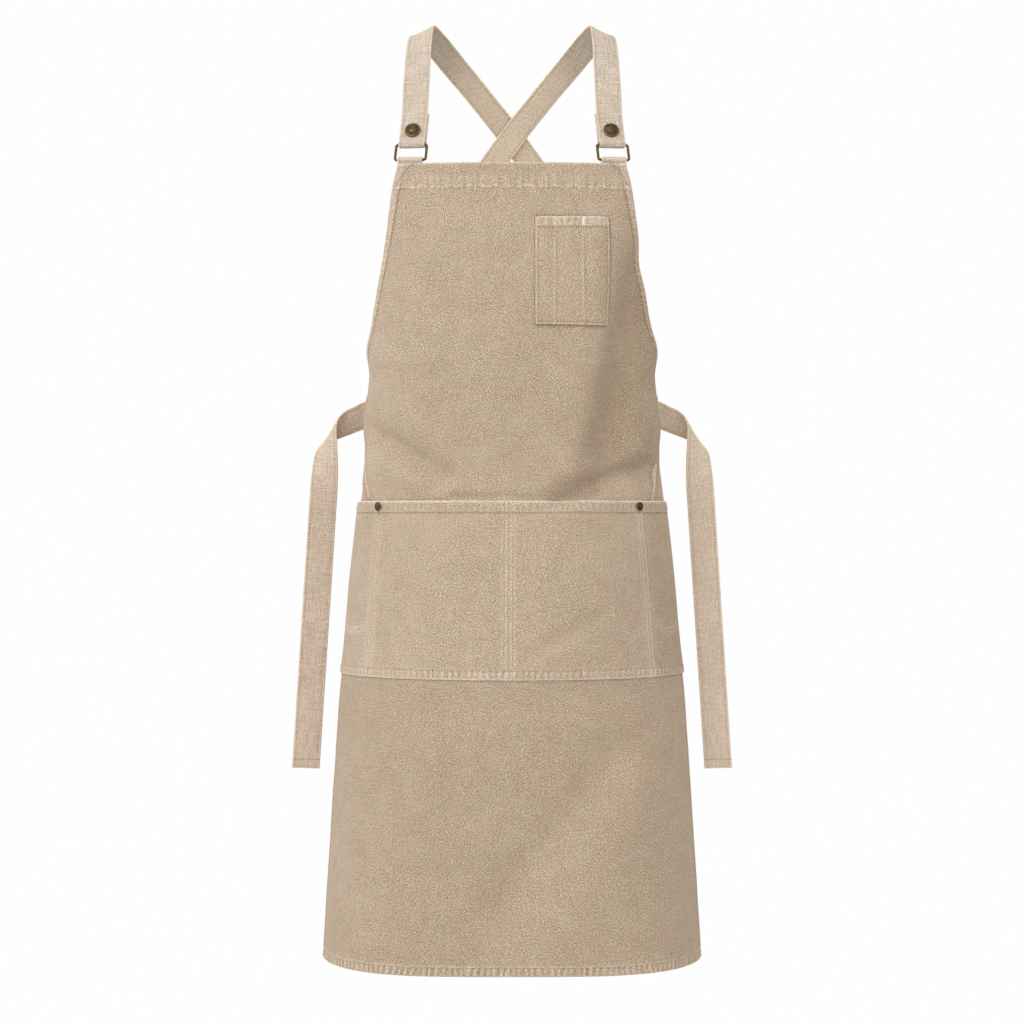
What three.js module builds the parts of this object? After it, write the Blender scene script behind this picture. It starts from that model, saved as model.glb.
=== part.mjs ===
// A cross back apron of washed canvas, held in the shape it has when worn: bib and skirt in one
// cloth, a divided waist pocket, a chest pocket, two shoulder straps that hang from snap loops in
// brass rings, cross behind and end at the opposite side corners, and two ties.
// Millimetres, +X to the viewer's right, +Y to the back, +Z up. The origin lies midway between
// the undersides of the straps, where they pass over the shoulders.
import * as THREE from "three";
import { mergeVertices } from "three/addons/utils/BufferGeometryUtils.js";

// Cloth
const clothThick = 1.5;
const hemThick = 2.8;
const seamGap = 0.3; // between two pieces that are sewn or pressed together
const edgeHem = 10.5; // width of the hems down the sides and along the bottom
const bibHem = 25.5;

// Bib and skirt
const apronTall = 833;
const hemHalf = 202; // half the width of the bottom hem, seen from the front
const sideDeep = 130; // how far the bottom hem's sides lie behind its front
const waistHollow = 20; // how far the front sinks at the waist
const frontAhead = 120; // the skirt's front, ahead of the shoulders
const bibDrop = 151; // bib top, below the shoulders

// Folds are charted in shares of these two
const foldWide = 30;
const foldHigh = 6;

// Waist pocket
const pocketDrop = 346.5; // its mouth, below the bib top
const pocketTall = 184;
const pocketHem = 12.5;
const pocketEase = 8; // how far its mouth stands off the skirt between seams
const pocketFlat = 0.7; // share of a pocket's height over which it comes off the cloth
const dividerLeft = 0.705; // seams, as shares of half the cloth's width there
const dividerMiddle = -0.015;
const dividerRight = 0.66;
const clothSteps = [2, 9, 9, 3]; // steps across the cloth, edge to seam to edge
const rivetDrop = 6; // rivet centre, below the mouth

// Chest pocket
const chestDrop = 56; // its mouth, below the bib top
const chestTall = 110.5;
const chestWide = 74.5;
const chestInner = 24; // its inner edge, from the centre line
const chestHem = 11;
const chestEase = 8.4;
const chestSeams = [0, 0.285, 0.665, 1]; // shares of its width

// Straps, their loops and the tabs that hold the rings
const strapWide = 27.5;
const strapThick = 2;
const shoulderHalf = 94.7; // centre line to each strap, over the shoulders
const crossDrop = 95; // the crossing, below the shoulders
const crossBack = 123; // and behind them
const strapTail = 40; // end of the strap, folded back through the ring
const tabWide = 26;
const tabThick = 1.6;
const tabPast = 0.8; // how far the tab reaches past the bib's corner
const tabFacing = 0.5; // share of the cloth's turn to the side that the tab and ring keep
const tabEase = 0.6; // from the bib's inner face to the tab
const tabHidden = 20; // tab sewn behind the bib's hem
const strapSewn = 26; // strap sewn behind the side corner
const strapSewnIn = 8; // its middle, in from the cloth's edge
const strapSewnDrop = 2; // and where it starts, below the side corner's top
const strapsApart = 6; // between the two straps' middles where they cross
const strapEase = 1.2; // from the cloth's inner face to the sewn end
const strapSlant = 36; // degrees from upright, at the sewn end
const strapSteps = 2; // steps for each row of the strap's table

// Rings, snaps and rivets
const wireRadius = 1.4;
const ringInnerWide = strapWide + 1.8;
const ringTall = 19.2; // between the two bars' centres
const ringCorner = 2.4;
const ringLean = 29; // degrees, back from upright
const wireSides = 6;
const snapRadius = 8;
const snapHigh = 3;
const snapUp = 16.5; // snap centre, above the ring's upper bar
const studRadius = 6;
const studHigh = 2.2;
const rivetRadius = 4.7;
const rivetHigh = 2.2;
const rivetEase = 0.3; // from the pocket's hem to the rivet's foot
const turnedSides = 14;

// Ties
const tieWide = 30;
const tieThick = 2;
const tieSewn = 24;
const tieEase = 0.9; // from the cloth's outer face to the sewn end
const tieCurl = 18; // radius of the turn away from the side corner
const tieCurlTurn = 112; // degrees that the turn takes at most
const tieOut = 21.5; // from that turn to the middle of the roll
const rollRadius = 9; // roll that turns the tie downwards
const tieLean = 33; // degrees, the stretch before the roll
const tieUpright = 0.2; // share of the turn before the lean starts
const tieDroop = 24; // degrees that the tie has bent down by then
const tieSplay = 3.7; // degrees that the hanging part leans outwards
const tieHang = 383; // from the middle of the roll to the end, along the tie
const tieSlot = 10.5; // tie centre, below the side corner's top
const tieUntwist = 58; // degrees that the hanging part turns back to the front
const tieUntwistOver = 105; // and over what length
const tieFineLength = 130; // finer steps up to here, past the roll
const tieFineStep = 6;
const tieCoarseStep = 26;
const tieColumns = 5;

// The worn shape, a row for each height: down is a share of apronTall, half a share of hemHalf,
// side and hollow shares of sideDeep and waistHollow, wrap how far the cloth turns in degrees,
// square how boxy the section is, where 2 is an ellipse.
const sections = [
  { at: "bib top", down: 0, half: 0.583, side: 0.125, hollow: 0.4, wrap: 40, square: 2.3 },
  { at: "bib hem", down: 0.03, half: 0.614, side: 0.165, hollow: 0.35, wrap: 47, square: 2.3 },
  { at: "upper chest", down: 0.0755, half: 0.642, side: 0.255, hollow: 0.2, wrap: 57, square: 2.4 },
  { at: "chest", down: 0.1155, half: 0.667, side: 0.346, hollow: 0.1, wrap: 65, square: 2.5 },
  { at: "lower chest", down: 0.1474, half: 0.693, side: 0.423, hollow: 0.05, wrap: 66, square: 2.4 },
  { at: "chest pocket end", down: 0.197, half: 0.732, side: 0.569, hollow: 0.05, wrap: 70, square: 2.3 },
  { at: "side bulge", down: 0.227, half: 0.76, side: 0.685, hollow: 0.15, wrap: 80, square: 2.2 },
  { at: "side dip", down: 0.2532, half: 0.747, side: 0.723, hollow: 0.3, wrap: 95, square: 2.2 },
  { at: "corner top", down: 0.2887, half: 0.761, side: 0.708, hollow: 0.55, wrap: 108, square: 2.2 },
  { at: "corner foot", down: 0.3253, half: 0.778, side: 0.692, hollow: 0.8, wrap: 112, square: 2.2 },
  { at: "waist", down: 0.3519, half: 0.772, side: 0.692, hollow: 0.95, wrap: 100, square: 2.2 },
  { at: "above pocket", down: 0.3934, half: 0.794, side: 0.746, hollow: 1, wrap: 90, square: 2.2 },
  { at: "pocket mouth", down: 0.4149, half: 0.801, side: 0.785, hollow: 0.9, wrap: 88, square: 2.2 },
  { at: "pocket upper", down: 0.5, half: 0.843, side: 0.938, hollow: 0.45, wrap: 86, square: 2.1 },
  { at: "pocket lower", down: 0.5952, half: 0.881, side: 1.054, hollow: 0.15, wrap: 84, square: 2.1 },
  { at: "under pocket", down: 0.6573, half: 0.913, side: 1.108, hollow: 0.05, wrap: 83, square: 2.2 },
  { at: "skirt top", down: 0.6984, half: 0.925, side: 1.1, hollow: 0, wrap: 82, square: 2.4 },
  { at: "skirt low", down: 0.9031, half: 0.977, side: 1.038, hollow: 0, wrap: 82, square: 3.2 },
  { at: "bottom hem", down: 1, half: 1, side: 1, hollow: 0, wrap: 80, square: 3.6 },
];
const cornerRow = sections.find((row) => row.at === "corner top");

// Drag lines and soft folds, from one end to the other: across is a share of hemHalf and down of
// apronTall, wide and high are shares of foldWide and foldHigh, and high below 0 is a valley.
const folds = [
  { at: "left drag", across0: -0.85, down0: 0.326, across1: -0.34, down1: 0.38, wide: 0.35, high: -0.75 },
  { at: "right drag", across0: 0.24, down0: 0.408, across1: 0.8, down1: 0.378, wide: 0.45, high: -1 },
  { at: "right ridge", across0: 0.47, down0: 0.1, across1: 0.3, down1: 0.37, wide: 1.1, high: 0.85 },
  { at: "right side hollow", across0: 0.72, down0: 0.2, across1: 0.5, down1: 0.36, wide: 0.9, high: -0.9 },
  { at: "left ridge", across0: -0.4, down0: 0.1, across1: -0.5, down1: 0.27, wide: 0.8, high: 0.35 },
  { at: "pocket pull", across0: 0.08, down0: 0.608, across1: 0.45, down1: 0.56, wide: 0.35, high: -0.55 },
  { at: "skirt valley", across0: 0.52, down0: 0.73, across1: -0.06, down1: 0.92, wide: 1, high: -1 },
  { at: "skirt ridge", across0: 0.72, down0: 0.76, across1: 0.3, down1: 0.94, wide: 1, high: 0.6 },
  { at: "left flare", across0: -1, down0: 0.372, across1: -1, down1: 0.412, wide: 0.25, high: -0.6 },
  { at: "right flare", across0: 0.99, down0: 0.372, across1: 0.98, down1: 0.412, wide: 0.25, high: -0.6 },
];

// A strap's way from its ring to the side corner, in three legs. In each row out, back and up
// are shares of the leg's way, and the width points along wideOut, wideBack and wideUp.
const strapLegs = { front: ["ring", "crest"], back: ["crest", "cross"], side: ["cross", "corner"] };
const strapRows = [
  { leg: "front", out: 0.37, back: 0.4, up: 0.48, wideOut: -0.98, wideBack: 0.1, wideUp: 0.12 },
  { leg: "front", out: 0.48, back: 0.56, up: 0.66, wideOut: -0.96, wideBack: 0.05, wideUp: 0.25 },
  { leg: "front", out: 0.62, back: 0.76, up: 0.87, wideOut: -0.93, wideBack: 0, wideUp: 0.36 },
  { leg: "front", out: 1, back: 1, up: 1, wideOut: -0.9, wideBack: 0, wideUp: 0.43 },
  { leg: "back", out: 0.122, back: 0.187, up: 0.075, wideOut: -0.86, wideBack: -0.12, wideUp: 0.5 },
  { leg: "back", out: 0.348, back: 0.447, up: 0.298, wideOut: -0.78, wideBack: -0.3, wideUp: 0.58 },
  { leg: "back", out: 0.63, back: 0.715, up: 0.587, wideOut: -0.74, wideBack: -0.42, wideUp: 0.58 },
  { leg: "back", out: 1, back: 1, up: 1, wideOut: -0.78, wideBack: -0.3, wideUp: 0.6 },
  { leg: "side", out: 0.207, back: -0.096, up: 0.138, wideOut: -0.83, wideBack: -0.1, wideUp: 0.56 },
  { leg: "side", out: 0.414, back: -0.133, up: 0.308, wideOut: -0.87, wideBack: 0.02, wideUp: 0.48 },
  { leg: "side", out: 0.6, back: -0.084, up: 0.53, wideOut: -0.88, wideBack: -0.15, wideUp: 0.45 },
  { leg: "side", out: 0.74, back: 0.17, up: 0.74, wideOut: -0.72, wideBack: -0.4, wideUp: 0.57 },
  { leg: "side", out: 0.86, back: 0.6, up: 0.89, wideOut: -0.45, wideBack: -0.55, wideUp: 0.7 },
];

const radians = Math.PI / 180;
const up = new THREE.Vector3(0, 0, 1);
const backward = new THREE.Vector3(0, 1, 0);
const vector = (x, y, z) => new THREE.Vector3(x, y, z);
const smooth = (x) => THREE.MathUtils.smoothstep(x, 0, 1);
const below = (drop) => -bibDrop - drop; // height of a point this far below the bib top

const canvas = new THREE.MeshStandardMaterial({ color: 0xb9a58d, roughness: 0.95, metalness: 0 });
const webbing = new THREE.MeshStandardMaterial({ color: 0xc9b59d, roughness: 0.95, metalness: 0 });
const brass = new THREE.MeshStandardMaterial({ color: 0x6b5632, roughness: 0.4, metalness: 0.9 });
const apron = new THREE.Group();

// A smooth curve through one column of a table whose rows are in order down the apron.
function column(table, key, down) {
  const last = table.length - 1;
  let i = table.findIndex((row) => row.down > down) - 1;
  if (i < 0) i = down <= table[0].down ? 0 : last - 1;
  const [before, here, next, after] = [i - 1, i, i + 1, i + 2].map(
    (k) => table[THREE.MathUtils.clamp(k, 0, last)],
  );
  const step = next.down - here.down;
  const share = THREE.MathUtils.clamp((down - here.down) / step, 0, 1);
  const slopeHere = ((next[key] - before[key]) / (next.down - before.down)) * step;
  const slopeNext = ((after[key] - here[key]) / (after.down - here.down)) * step;
  const two = share * share;
  const three = two * share;
  return (
    here[key] * (2 * three - 3 * two + 1) +
    slopeHere * (three - 2 * two + share) +
    next[key] * (3 * two - 2 * three) +
    slopeNext * (three - two)
  );
}

// The apron's cross-section at height z, from its centre line to its edge: points equally far
// apart in turn, each with its distance along the cloth.
const sectionSteps = 96;
const knownSections = new Map();
function sectionAt(z) {
  if (knownSections.has(z)) return knownSections.get(z);
  const down = (-bibDrop - z) / apronTall;
  const wrap = column(sections, "wrap", down) * radians;
  const square = column(sections, "square", down);
  const widest = Math.min(wrap, Math.PI / 2);
  const half = (column(sections, "half", down) * hemHalf) / Math.sin(widest) ** (2 / square);
  const deep = (column(sections, "side", down) * sideDeep) / (1 - Math.cos(widest));
  const front = column(sections, "hollow", down) * waistHollow - frontAhead;
  const points = [{ x: 0, y: front, along: 0 }];
  for (let i = 1; i <= sectionSteps; i++) {
    const turn = wrap * (i / sectionSteps) ** (square / 2);
    const x = half * Math.sin(turn) ** (2 / square);
    const y = front + deep * (1 - Math.cos(turn));
    const back = points[i - 1];
    points.push({ x, y, along: back.along + Math.hypot(x - back.x, y - back.y) });
  }
  knownSections.set(z, points);
  return points;
}

// Half the cloth's width at height z, measured along the cloth.
const clothHalf = (z) => sectionAt(z)[sectionSteps].along;

// The unfolded worn surface, across millimetres along the cloth from the centre line.
function smoothSurface(across, z) {
  const points = sectionAt(z);
  const distance = Math.abs(across);
  let i = points.findIndex((p) => p.along >= distance);
  if (i < 0) i = sectionSteps;
  i = Math.max(i, 1);
  const share = (distance - points[i - 1].along) / (points[i].along - points[i - 1].along);
  const x = THREE.MathUtils.lerp(points[i - 1].x, points[i].x, share);
  const y = THREE.MathUtils.lerp(points[i - 1].y, points[i].y, share);
  return vector(Math.sign(across) * x, y, z);
}

// The outward normal of any surface function, from two short steps along it.
function normalOf(surface, across, z) {
  const step = 2;
  const side = surface(across + step, z).sub(surface(across - step, z));
  const rise = surface(across, z + step).sub(surface(across, z - step));
  return side.cross(rise).normalize();
}

// How far the folds lift the cloth at one place.
function foldLift(across, z) {
  const down = -bibDrop - z;
  let lift = 0;
  for (const fold of folds) {
    const start = new THREE.Vector2(fold.across0 * hemHalf, fold.down0 * apronTall);
    const run = new THREE.Vector2(fold.across1 * hemHalf, fold.down1 * apronTall).sub(start);
    const here = new THREE.Vector2(across, down).sub(start);
    const share = THREE.MathUtils.clamp(here.dot(run) / run.lengthSq(), 0, 1);
    const away = here.addScaledVector(run, -share).length() / (fold.wide * foldWide);
    lift += fold.high * foldHigh * Math.exp(-away * away);
  }
  return lift;
}

// The cloth's outer face.
function clothFace(across, z) {
  const normal = normalOf(smoothSurface, across, z);
  return smoothSurface(across, z).addScaledVector(normal, foldLift(across, z));
}

// A point off the cloth's outer face, and the directions there: across, up the cloth and off it.
function clothFrame(across, z, off = 0) {
  const normal = normalOf(clothFace, across, z);
  const side = clothFace(across + 1, z).sub(clothFace(across - 1, z)).normalize();
  const rise = normal.clone().cross(side).normalize();
  return { point: clothFace(across, z).addScaledVector(normal, off), normal, side, rise };
}

// A closed mesh from rings of points: each ring is a loop, and the rings either close on each
// other or are capped at both ends. The two halves of a ring split their quads the same way
// when they are seen from one side, so that walls that lie together have matching facets.
function closedBody(rings, ringsClose = false) {
  const sides = rings[0].length;
  const vertices = rings.flat().flatMap((p) => [p.x, p.y, p.z]);
  const faces = [];
  const spans = ringsClose ? rings.length : rings.length - 1;
  for (let i = 0; i < spans; i++) {
    const next = (i + 1) % rings.length;
    for (let j = 0; j < sides; j++) {
      const k = (j + 1) % sides;
      const [a, b, c, d] = [i * sides + j, i * sides + k, next * sides + k, next * sides + j];
      if (j < sides / 2) faces.push(a, b, c, a, c, d);
      else faces.push(a, b, d, b, c, d);
    }
  }
  if (!ringsClose) {
    const last = (rings.length - 1) * sides;
    for (let j = 0; j < sides / 2 - 1; j++) {
      const [a, b, c, d] = [j, j + 1, sides - 2 - j, sides - 1 - j];
      faces.push(a, c, b, a, d, c);
      faces.push(last + a, last + b, last + c, last + a, last + c, last + d);
    }
  }
  const geometry = new THREE.BufferGeometry();
  geometry.setAttribute("position", new THREE.Float32BufferAttribute(vertices, 3));
  geometry.setIndex(faces);
  return mergeVertices(geometry, 1e-3);
}

// A wall of cloth: front(i, j) and rear(i, j) give its two faces over rows i and columns j.
function wall(rowCount, columnCount, front, rear) {
  const rings = [];
  for (let i = 0; i < rowCount; i++) {
    const ring = [];
    for (let j = 0; j < columnCount; j++) ring.push(front(i, j));
    for (let j = columnCount - 1; j >= 0; j--) ring.push(rear(i, j));
    rings.push(ring);
  }
  return closedBody(rings);
}

function addMesh(name, geometry, material) {
  const mesh = new THREE.Mesh(geometry, material);
  mesh.name = name;
  apron.add(mesh);
  return mesh;
}

// Even steps between two places, without the places themselves.
function between(start, end, count) {
  return Array.from({ length: count - 1 }, (_, i) => THREE.MathUtils.lerp(start, end, (i + 1) / count));
}

// A hem's places from the cloth's edge inwards: the edge and both sides of the hem's inner edge.
const hemStep = 1.2;
const hemPlaces = (edge, width) => [edge, edge + width - Math.sign(width) * hemStep, edge + width];

// Places from start to end with a hem at both, and even steps between the hems.
function withHems(start, end, hemStart, hemEnd, count) {
  const first = hemPlaces(start, hemStart);
  const last = hemPlaces(end, -hemEnd).reverse();
  return [...first, ...between(first[2], last[0], count), ...last];
}

// A wall on the worn cloth: its columns are distances across the cloth at each height, and its
// inner face lies off the cloth's outer face by off(i, j) and its outer face by thick(i, j) more.
function clothWall(heights, columnsAt, off, thick) {
  const columns = heights.map(columnsAt);
  const point = (i, j, lift) => clothFrame(columns[i][j], heights[i], lift).point;
  const front = (i, j) => point(i, j, off(i, j) + thick(i, j));
  const rear = (i, j) => point(i, j, off(i, j));
  return wall(heights.length, columns[0].length, front, rear);
}

// Places across the cloth at height z, which the skirt and the waist pocket share: the side hems,
// the waist pocket's seams and even steps between them.
const waistSeams = [0, (1 - dividerLeft) / 2, (1 + dividerMiddle) / 2, (1 + dividerRight) / 2, 1];
function clothColumns(z) {
  const half = clothHalf(z);
  const inner = waistSeams.slice(1, -1).map((seam) => (2 * seam - 1) * half);
  const stops = [edgeHem - half, ...inner, half - edgeHem];
  const places = hemPlaces(-half, edgeHem).slice(0, 2);
  for (let i = 1; i < stops.length; i++) {
    places.push(stops[i - 1], ...between(stops[i - 1], stops[i], clothSteps[i - 1]));
  }
  return [...places, ...hemPlaces(half, -edgeHem).reverse()];
}

const pocketHeights = withHems(below(pocketDrop + pocketTall), below(pocketDrop), edgeHem, pocketHem, 7);
const chestHeights = withHems(below(chestDrop + chestTall), below(chestDrop), edgeHem, chestHem, 5);
const bottomHeights = hemPlaces(below(apronTall), edgeHem);
const topHeights = hemPlaces(below(0), -bibHem).reverse();

// Bib and skirt, one cloth with its hems turned to the inside.
function addApronBody() {
  const heights = [
    ...bottomHeights,
    ...between(bottomHeights.at(-1), pocketHeights[0], 9),
    ...pocketHeights,
    ...between(pocketHeights.at(-1), chestHeights[0], 11),
    ...chestHeights,
    ...between(chestHeights.at(-1), topHeights[0], 3),
    ...topHeights,
  ];
  const lastColumn = clothColumns(below(0)).length - 1;
  const lastRow = heights.length - 1;
  const thick = (i, j) => (i < 2 || j < 2 || i > lastRow - 2 || j > lastColumn - 2 ? hemThick : clothThick);
  const off = (i, j) => -thick(i, j);
  addMesh("apron_body", clothWall(heights, clothColumns, off, thick), canvas);
}

// How far a pocket stands off between its seams: full in the middle of the widest compartment at
// the mouth, nothing at the seams and the bottom. Seams are shares of the pocket's width.
function pocketLift(seams, share, rise, ease) {
  const i = Math.min(seams.findLastIndex((seam) => seam <= share), seams.length - 2);
  const widths = seams.slice(1).map((seam, k) => seam - seams[k]);
  const within = (share - seams[i]) / widths[i];
  const swell = smooth(2 * Math.min(within, 1 - within)) * smooth(rise / pocketFlat);
  return ((ease * widths[i]) / Math.max(...widths)) * swell;
}

// A patch pocket sewn on at its sides, bottom and inner seams, with its mouth open. shareAt gives
// a place's share of the pocket's width.
function addPocket(name, heights, columnsAt, shareAt, seams, ease) {
  const last = heights.length - 1;
  const rise = (i) => (heights[i] - heights[0]) / (heights[last] - heights[0]);
  const off = (i, j) => {
    const share = shareAt(columnsAt(heights[i])[j], heights[i]);
    return seamGap + pocketLift(seams, share, rise(i), ease);
  };
  const thick = (i) => (i < 2 || i > last - 2 ? hemThick : clothThick);
  addMesh(name, clothWall(heights, columnsAt, off, thick), canvas);
}

// The waist pocket spans the whole cloth, in four compartments.
function addWaistPocket() {
  const shareAt = (across, z) => (across / clothHalf(z) + 1) / 2;
  addPocket("waist_pocket", pocketHeights, clothColumns, shareAt, waistSeams, pocketEase);
}

// The chest pocket, with a pen slot at each side of its middle compartment.
function addChestPocket() {
  const edges = chestSeams.map((seam) => chestInner + seam * chestWide);
  const places = [edges[0]];
  for (let i = 1; i < edges.length; i++) places.push(...between(edges[i - 1], edges[i], 3), edges[i]);
  const shareAt = (across) => (across - chestInner) / chestWide;
  addPocket("chest_pocket", chestHeights, () => places, shareAt, chestSeams, chestEase);
}

// A turned piece of hardware whose foot rests on a surface at point, with its axis along normal.
function addTurned(name, profile, point, normal) {
  const outline = profile.map(([radius, height]) => new THREE.Vector2(radius, height));
  const mesh = addMesh(name, new THREE.LatheGeometry(outline, turnedSides), brass);
  mesh.quaternion.setFromUnitVectors(backward, normal);
  mesh.position.copy(point);
}

// A low domed cap: a flat foot, a short upright rim and a slightly raised crown.
const capProfile = (radius, high) => [
  [0, 0],
  [radius, 0],
  [radius, 0.35 * high],
  [0.82 * radius, 0.8 * high],
  [0.4 * radius, high],
  [0, high],
];

// Rivets hold the waist pocket's mouth at its outer seams.
function addRivet(name, share) {
  const z = below(pocketDrop + rivetDrop);
  const rim = rivetRadius / clothHalf(z) / 2;
  const seam = (share + 1) / 2;
  const lift = Math.max(...[seam - rim, seam + rim].map((at) => pocketLift(waistSeams, at, 1, pocketEase)));
  const spot = clothFrame(share * clothHalf(z), z, seamGap + lift + hemThick + rivetEase);
  addTurned(name, capProfile(rivetRadius, rivetHigh), spot.point, spot.normal);
}

// How far the cloth's inner face reaches inwards past a flat strip that lies behind it.
function innerReach(frame, inward, across, z, wide, tall) {
  let reach = 0;
  for (const side of [-0.5, 0, 0.5]) {
    for (const drop of [0, 0.5, 1]) {
      const spot = clothFrame(across + side * wide, z - drop * tall, -hemThick).point;
      reach = Math.max(reach, spot.sub(frame.point).dot(inward));
    }
  }
  return reach;
}

// The place of a tab, its ring and the strap's loop at one bib corner: the two bars' centres, the
// direction across, and the upright and leaning directions square to it.
function ringPlace(side) {
  const top = below(0);
  const across = side * (clothHalf(top) + tabPast - tabWide / 2);
  const frame = clothFrame(across, top);
  const inward = vector(-tabFacing * frame.normal.x, -frame.normal.y, 0).normalize();
  const layers = tabThick + seamGap / 2;
  const reach = innerReach(frame, inward, across, top, tabWide, tabHidden);
  const lower = frame.point
    .clone()
    .addScaledVector(inward, reach + tabEase + layers)
    .addScaledVector(up, loopSpread * loopRadius(tabThick));
  const axis = inward.clone().cross(up);
  const lean = up.clone().applyAxisAngle(axis, -ringLean * radians);
  const face = inward.clone().negate().applyAxisAngle(axis, -ringLean * radians);
  const upper = lower.clone().addScaledVector(lean, ringTall);
  return { lower, upper, inward, lean, face, across: axis };
}

// Where a loop of ribbon runs round a bar: places along (away from the bar) and off (across the
// loop), from the end of the front layer round the bar to the end of the rear layer.
const loopSpread = 1.8; // the layers meet this many loop radii from the bar
const loopPast = 20; // degrees that the bend goes on past a half turn, at each end
const loopStep = 20; // degrees
const loopRadius = (thick) => wireRadius + seamGap + thick / 2;
function loopAround(thick, frontEnd, rearEnd) {
  const radius = loopRadius(thick);
  const half = (thick + seamGap) / 2;
  const path = [
    { away: frontEnd, off: -half },
    { away: loopSpread * radius, off: -half },
  ];
  for (let turn = -loopPast; turn <= 180 + loopPast; turn += loopStep) {
    path.push({ away: -radius * Math.sin(turn * radians), off: -radius * Math.cos(turn * radians) });
  }
  path.push({ away: loopSpread * radius, off: half }, { away: rearEnd, off: half });
  return path;
}

// A strip of cloth from the grid of its middle surface, whose rows run along it.
function strip(grid, thick) {
  const near = (list, i) => list[THREE.MathUtils.clamp(i, 0, list.length - 1)];
  const face = (half) => (i, j) => {
    const wide = near(grid[i], j + 1).clone().sub(near(grid[i], j - 1));
    const long = near(grid, i + 1)[j].clone().sub(near(grid, i - 1)[j]);
    return grid[i][j].clone().addScaledVector(wide.cross(long).normalize(), half);
  };
  return wall(grid.length, grid[0].length, face(thick / 2), face(-thick / 2));
}

// A row of points across a strip, square to its way.
const stripShares = [-0.5, -0.25, 0, 0.25, 0.5];
function crossRow(centre, width, tangent, wide) {
  const square = width.clone().addScaledVector(tangent, -width.dot(tangent)).setLength(wide);
  return stripShares.map((share) => centre.clone().addScaledVector(square, share));
}

// A tab: a short strip round the ring's lower bar, with both ends sewn behind the bib's hem.
function addTab(name, side) {
  const place = ringPlace(side);
  const end = loopSpread * loopRadius(tabThick) + tabHidden;
  const grid = loopAround(tabThick, end, end).map((p) => {
    const centre = place.lower.clone().addScaledVector(up, -p.away).addScaledVector(place.inward, p.off);
    return [-0.5, 0.5].map((share) => centre.clone().addScaledVector(place.across, share * tabWide));
  });
  addMesh(name, strip(grid, tabThick), webbing);
}

// A ring: round wire bent to a rectangle with rounded corners.
function addRing(name, side) {
  const place = ringPlace(side);
  const x = ringInnerWide / 2 + wireRadius;
  const y = ringTall / 2;
  const corners = [
    [x, y, 0],
    [-x, y, 90],
    [-x, -y, 180],
    [x, -y, 270],
  ];
  const outline = new THREE.Path();
  for (const [cx, cy, start] of corners) {
    const [mx, my] = [cx - Math.sign(cx) * ringCorner, cy - Math.sign(cy) * ringCorner];
    outline.absarc(mx, my, ringCorner, start * radians, (start + 90) * radians);
  }
  const points = outline.getPoints(2);
  const middle = place.lower.clone().lerp(place.upper, 0.5);
  const rings = points.map((p, i) => {
    const before = points.at(i - 1);
    const after = points[(i + 1) % points.length];
    const run = new THREE.Vector2().subVectors(after, before).normalize();
    const wayOut = place.across.clone().multiplyScalar(run.y).addScaledVector(place.lean, -run.x);
    const centre = middle.clone().addScaledVector(place.across, p.x).addScaledVector(place.lean, p.y);
    return Array.from({ length: wireSides }, (_, k) => {
      const turn = (2 * Math.PI * k) / wireSides;
      return centre
        .clone()
        .addScaledVector(wayOut, wireRadius * Math.cos(turn))
        .addScaledVector(place.face, -wireRadius * Math.sin(turn));
    });
  });
  addMesh(name, closedBody(rings, true), brass);
}

// A strap, in one length: its folded-back end, the loop round the ring, the way up over the
// shoulder, down across the back and in behind the far side corner.
function addStrap(name, side) {
  const place = ringPlace(side);
  const inwards = place.across.clone().multiplyScalar(-side);
  const loop = loopAround(strapThick, strapTail, strapTail).map((p) => {
    const centre = place.upper.clone().addScaledVector(place.lean, p.away);
    centre.addScaledVector(place.face, -p.off);
    return stripShares.map((share) => centre.clone().addScaledVector(inwards, share * strapWide));
  });
  loop.reverse();

  // The sewn end lies on the cloth's inner face, at a slant.
  const sewnTop = below(cornerRow.down * apronTall + strapSewnDrop);
  const slant = strapSlant * radians;
  const sewnRow = (share) => {
    const z = sewnTop - share * strapSewn * Math.cos(slant);
    const across = -side * (clothHalf(sewnTop) - strapSewnIn - share * strapSewn * Math.sin(slant));
    return stripShares.map((part) => {
      const beside = side * part * strapWide * Math.cos(slant);
      const above = part * strapWide * Math.sin(slant);
      return clothFrame(across + beside, z + above, -(hemThick + strapEase + strapThick / 2)).point;
    });
  };
  const sewn = [0, 0.33, 0.67, 1].map(sewnRow);
  const middle = (stripShares.length - 1) / 2;

  const anchors = {
    ring: place.upper,
    crest: vector(side * shoulderHalf, 0, strapThick / 2),
    cross: vector(0, crossBack - (side * strapsApart) / 2, -crossDrop),
    corner: sewn[0][middle],
  };
  const rows = strapRows.map((row) => {
    const [from, to] = strapLegs[row.leg].map((name) => anchors[name]);
    return vector(
      THREE.MathUtils.lerp(from.x, to.x, row.out),
      THREE.MathUtils.lerp(from.y, to.y, row.back),
      THREE.MathUtils.lerp(from.z, to.z, row.up),
    );
  });
  const rowWidths = strapRows.map((row) => vector(side * row.wideOut, row.wideBack, row.wideUp));
  const sewnWidth = sewn[0].at(-1).clone().sub(sewn[0][0]).normalize();
  const ways = [loop.at(-1)[middle], ...rows, sewn[0][middle], sewn[1][middle]];
  const way = new THREE.CatmullRomCurve3(ways, false, "centripetal");
  const turns = [inwards, ...rowWidths, sewnWidth, sewnWidth];
  const widths = new THREE.CatmullRomCurve3(turns, false, "centripetal");
  const spans = ways.length - 1;
  const free = between(0, spans - 1, strapSteps * (spans - 1)).map((step) => {
    const share = step / spans;
    return crossRow(way.getPoint(share), widths.getPoint(share), way.getTangent(share), strapWide);
  });
  addMesh(name, strip([...loop, ...free, ...sewn], strapThick), webbing);
}

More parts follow.
